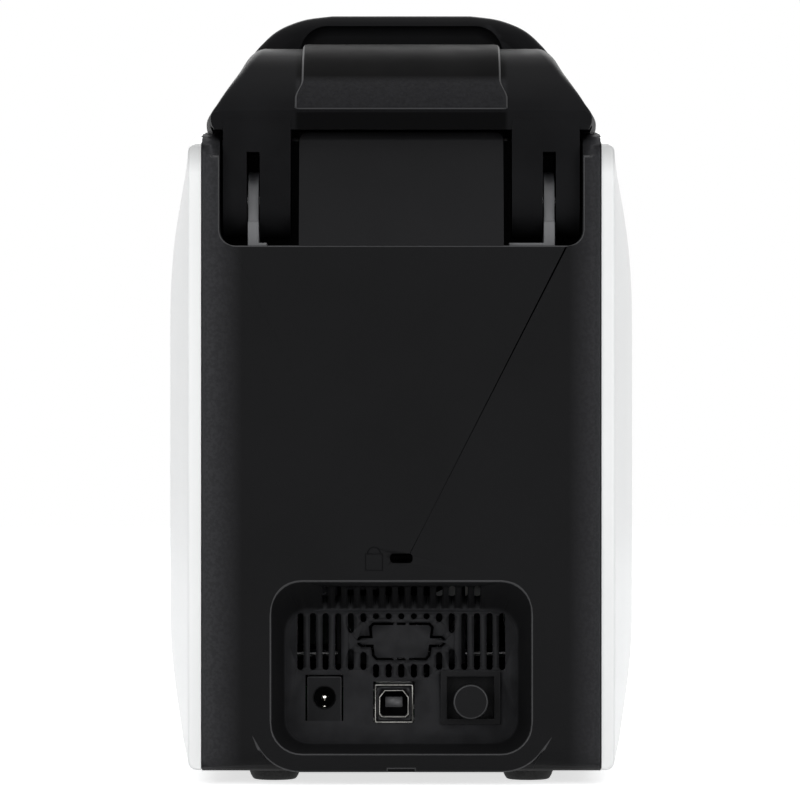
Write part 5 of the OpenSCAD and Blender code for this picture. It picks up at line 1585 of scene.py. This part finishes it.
def rear_panel():
    """The rear panel, with longer vent slots in the sloping roof of its connector bay."""
    first = (-SLOT_PITCH * (ROOF_SLOTS - 1) / 2, REAR - SLOT_DEPTH, SLOT_FROM)
    slots = row_tree().run("roof_slots", [first], Count=ROOF_SLOTS, Pitch=SLOT_PITCH * MM,
                           Width=SLOT_WIDTH * MM, Length=SLOT_LENGTH * MM, Height=SLOT_RISE * MM,
                           Finish=finish_of("panel_black"))
    panel = clean_copy("back_panel", "rear_panel", [slots])
    mark_edges(panel, on_rear_face)
    bevel_edges(panel, settings("printer_covers").edge_radius, COPY_ANGLE, 3, marked=True)
    apply_modifiers(panel)
    for vert in panel.data.vertices:
        vert.co.y = min(vert.co.y, REAR * MM)
    weigh_normals(panel)
    place_copy(panel, "panel_black", "back_panel")


# Side, top, depth and corner radius of the deck's tongue between the hinge pockets
TONGUE_SIDE = 31.5
TONGUE_TOP = 201.3
TONGUE_DEPTH = 14.0
TONGUE_ROUND = 2.6


def deck():
    """The deck under the lid, with round top corners on the tongue between the hinge pockets."""
    x, z, spare = TONGUE_SIDE - TONGUE_ROUND, TONGUE_TOP - TONGUE_ROUND, 0.5
    outline = [(x + TONGUE_ROUND * math.sin(math.tau * i / 32),
                z + TONGUE_ROUND * math.cos(math.tau * i / 32)) for i in range(9)]
    outline += [(TONGUE_SIDE + spare, z), (TONGUE_SIDE + spare, TONGUE_TOP + spare),
                (x, TONGUE_TOP + spare)]
    cutters = []
    for side in (-1, 1):
        corner = [(side * a, b) for a, b in outline][::side]
        cutters.append(prism("tongue_corner", corner, "y", REAR - TONGUE_DEPTH, REAR + 1.0))
    place_copy(rounded_copy("inner_deck", "deck", 0.5 * MM, cutters), "black_plastic", "inner_deck")


def solids(node):
    """Lowest and highest corners, in millimetres, of each separate solid of a node."""
    bm = bmesh.new()
    bm.from_mesh(NODES[node].data)
    bmesh.ops.remove_doubles(bm, verts=bm.verts, dist=WELD)
    found, left = [], set(bm.verts)
    while left:
        spots, reached = [], [left.pop()]
        while reached:
            vert = reached.pop()
            spots.append(vert.co / MM)
            for edge in vert.link_edges:
                other = edge.other_vert(vert)
                if other in left:
                    left.discard(other)
                    reached.append(other)
        found.append(([min(s[i] for s in spots) for i in range(3)],
                      [max(s[i] for s in spots) for i in range(3)]))
    bm.free()
    return sorted(found)


HEAD_RADIUS = 2.6
HEAD_HEIGHT = 0.75
SHANK_RADIUS = 1.25
SHANK_LENGTH = 6.55


def frame_screws():
    """The screws that hold the frames to the tie bars, on both sides."""
    tree = screw_tree()
    sizes = {"Head radius": HEAD_RADIUS * MM, "Head height": HEAD_HEIGHT * MM,
             "Shank radius": SHANK_RADIUS * MM, "Shank length": SHANK_LENGTH * MM,
             "Finish": finish_of("steel")}
    rows = []
    for name, side in (("screws_right", 1), ("screws_left", -1)):
        places = []
        for low, high in solids("frame_screws"):
            if low[0] * side > 0:
                seat = max(abs(low[0]), abs(high[0])) - HEAD_HEIGHT
                places.append((seat * side, (low[1] + high[1]) / 2, (low[2] + high[2]) / 2))
        rows.append(tree.run(name, places, Turn=side * math.pi / 2, **sizes))
    return rows


# Finish of the inner pieces, where it isn't the one that their slot names
NODE_FINISH = {
    "lid_liner": "grey_plastic", "input_hopper": "grey_plastic", "card_guide": "grey_plastic",
    "fan_frame": "black_plastic", "fan_rotor": "black_plastic", "ribbon_cartridge": "gear_plastic",
}


class PRINTER_OT_screws(bpy.types.Operator):
    """Place the screws that hold the frames to the tie bars"""
    bl_idname = "printer.screws"
    bl_label = "Frame screws"
    bl_options = {"REGISTER", "UNDO"}

    def execute(self, context):
        for screws in frame_screws():
            place_new(screws, "steel", body_of("frame_screws"), slot_of("frame_screws"), "frame_screws")
        return {"FINISHED"}


class PRINTER_OT_mechanism(bpy.types.Operator):
    """Give the frames, rollers, gears, motors and electronics their finishes"""
    bl_idname = "printer.mechanism"
    bl_label = "Mechanism"
    bl_options = {"REGISTER", "UNDO"}

    def execute(self, context):
        for name, obj in NODES.items():
            set_material(obj, finish_of(NODE_FINISH.get(name, slot_of(name))))
        return {"FINISHED"}


class PRINTER_OT_studio(bpy.types.Operator):
    """Set up the floor, the lamps, the background and the camera"""
    bl_idname = "printer.studio"
    bl_label = "Studio"
    bl_options = {"REGISTER", "UNDO"}

    def execute(self, context):
        build_world()
        build_floor()
        build_camera()
        for values in LAMPS:
            build_lamp(*values)
        return {"FINISHED"}


STEPS = (PRINTER_OT_side_covers, PRINTER_OT_lid, PRINTER_OT_mouldings, PRINTER_OT_controls,
         PRINTER_OT_sockets, PRINTER_OT_screws, PRINTER_OT_mechanism, PRINTER_OT_studio)


class PRINTER_PT_dresser(bpy.types.Panel):
    """Lists the building steps and their settings"""
    bl_label = "Card Printer Dresser"
    bl_idname = "PRINTER_PT_dresser"
    bl_space_type = "VIEW_3D"
    bl_region_type = "UI"
    bl_category = "Printer"

    def draw(self, context):
        layout = self.layout
        for group in ("printer_covers", "printer_finish", "printer_studio"):
            values = getattr(context.scene, group)
            box = layout.box()
            for name in values.__annotations__:
                box.prop(values, name)
        for step in STEPS:
            layout.operator(step.bl_idname)


GROUPS = {"printer_covers": CoverSettings, "printer_finish": FinishSettings,
          "printer_studio": StudioSettings}


def register():
    """Makes the settings, the operators and the panel known."""
    for name, group in GROUPS.items():
        bpy.utils.register_class(group)
        setattr(bpy.types.Scene, name, PointerProperty(type=group))
    for step in STEPS:
        bpy.utils.register_class(step)
    bpy.utils.register_class(PRINTER_PT_dresser)


def unregister():
    """Takes the settings, the operators and the panel away again."""
    bpy.utils.unregister_class(PRINTER_PT_dresser)
    for step in reversed(STEPS):
        bpy.utils.unregister_class(step)
    for name, group in reversed(GROUPS.items()):
        delattr(bpy.types.Scene, name)
        bpy.utils.unregister_class(group)


def main():
    """Builds everything in order."""
    register()
    bpy.context.scene.view_settings.view_transform = "Standard"
    for step in STEPS:
        kind, name = step.bl_idname.split(".")
        result = getattr(getattr(bpy.ops, kind), name)()
        if "FINISHED" not in result:
            raise RuntimeError(f"{step.bl_idname} did not finish")


if __name__ == "__main__":
    main()
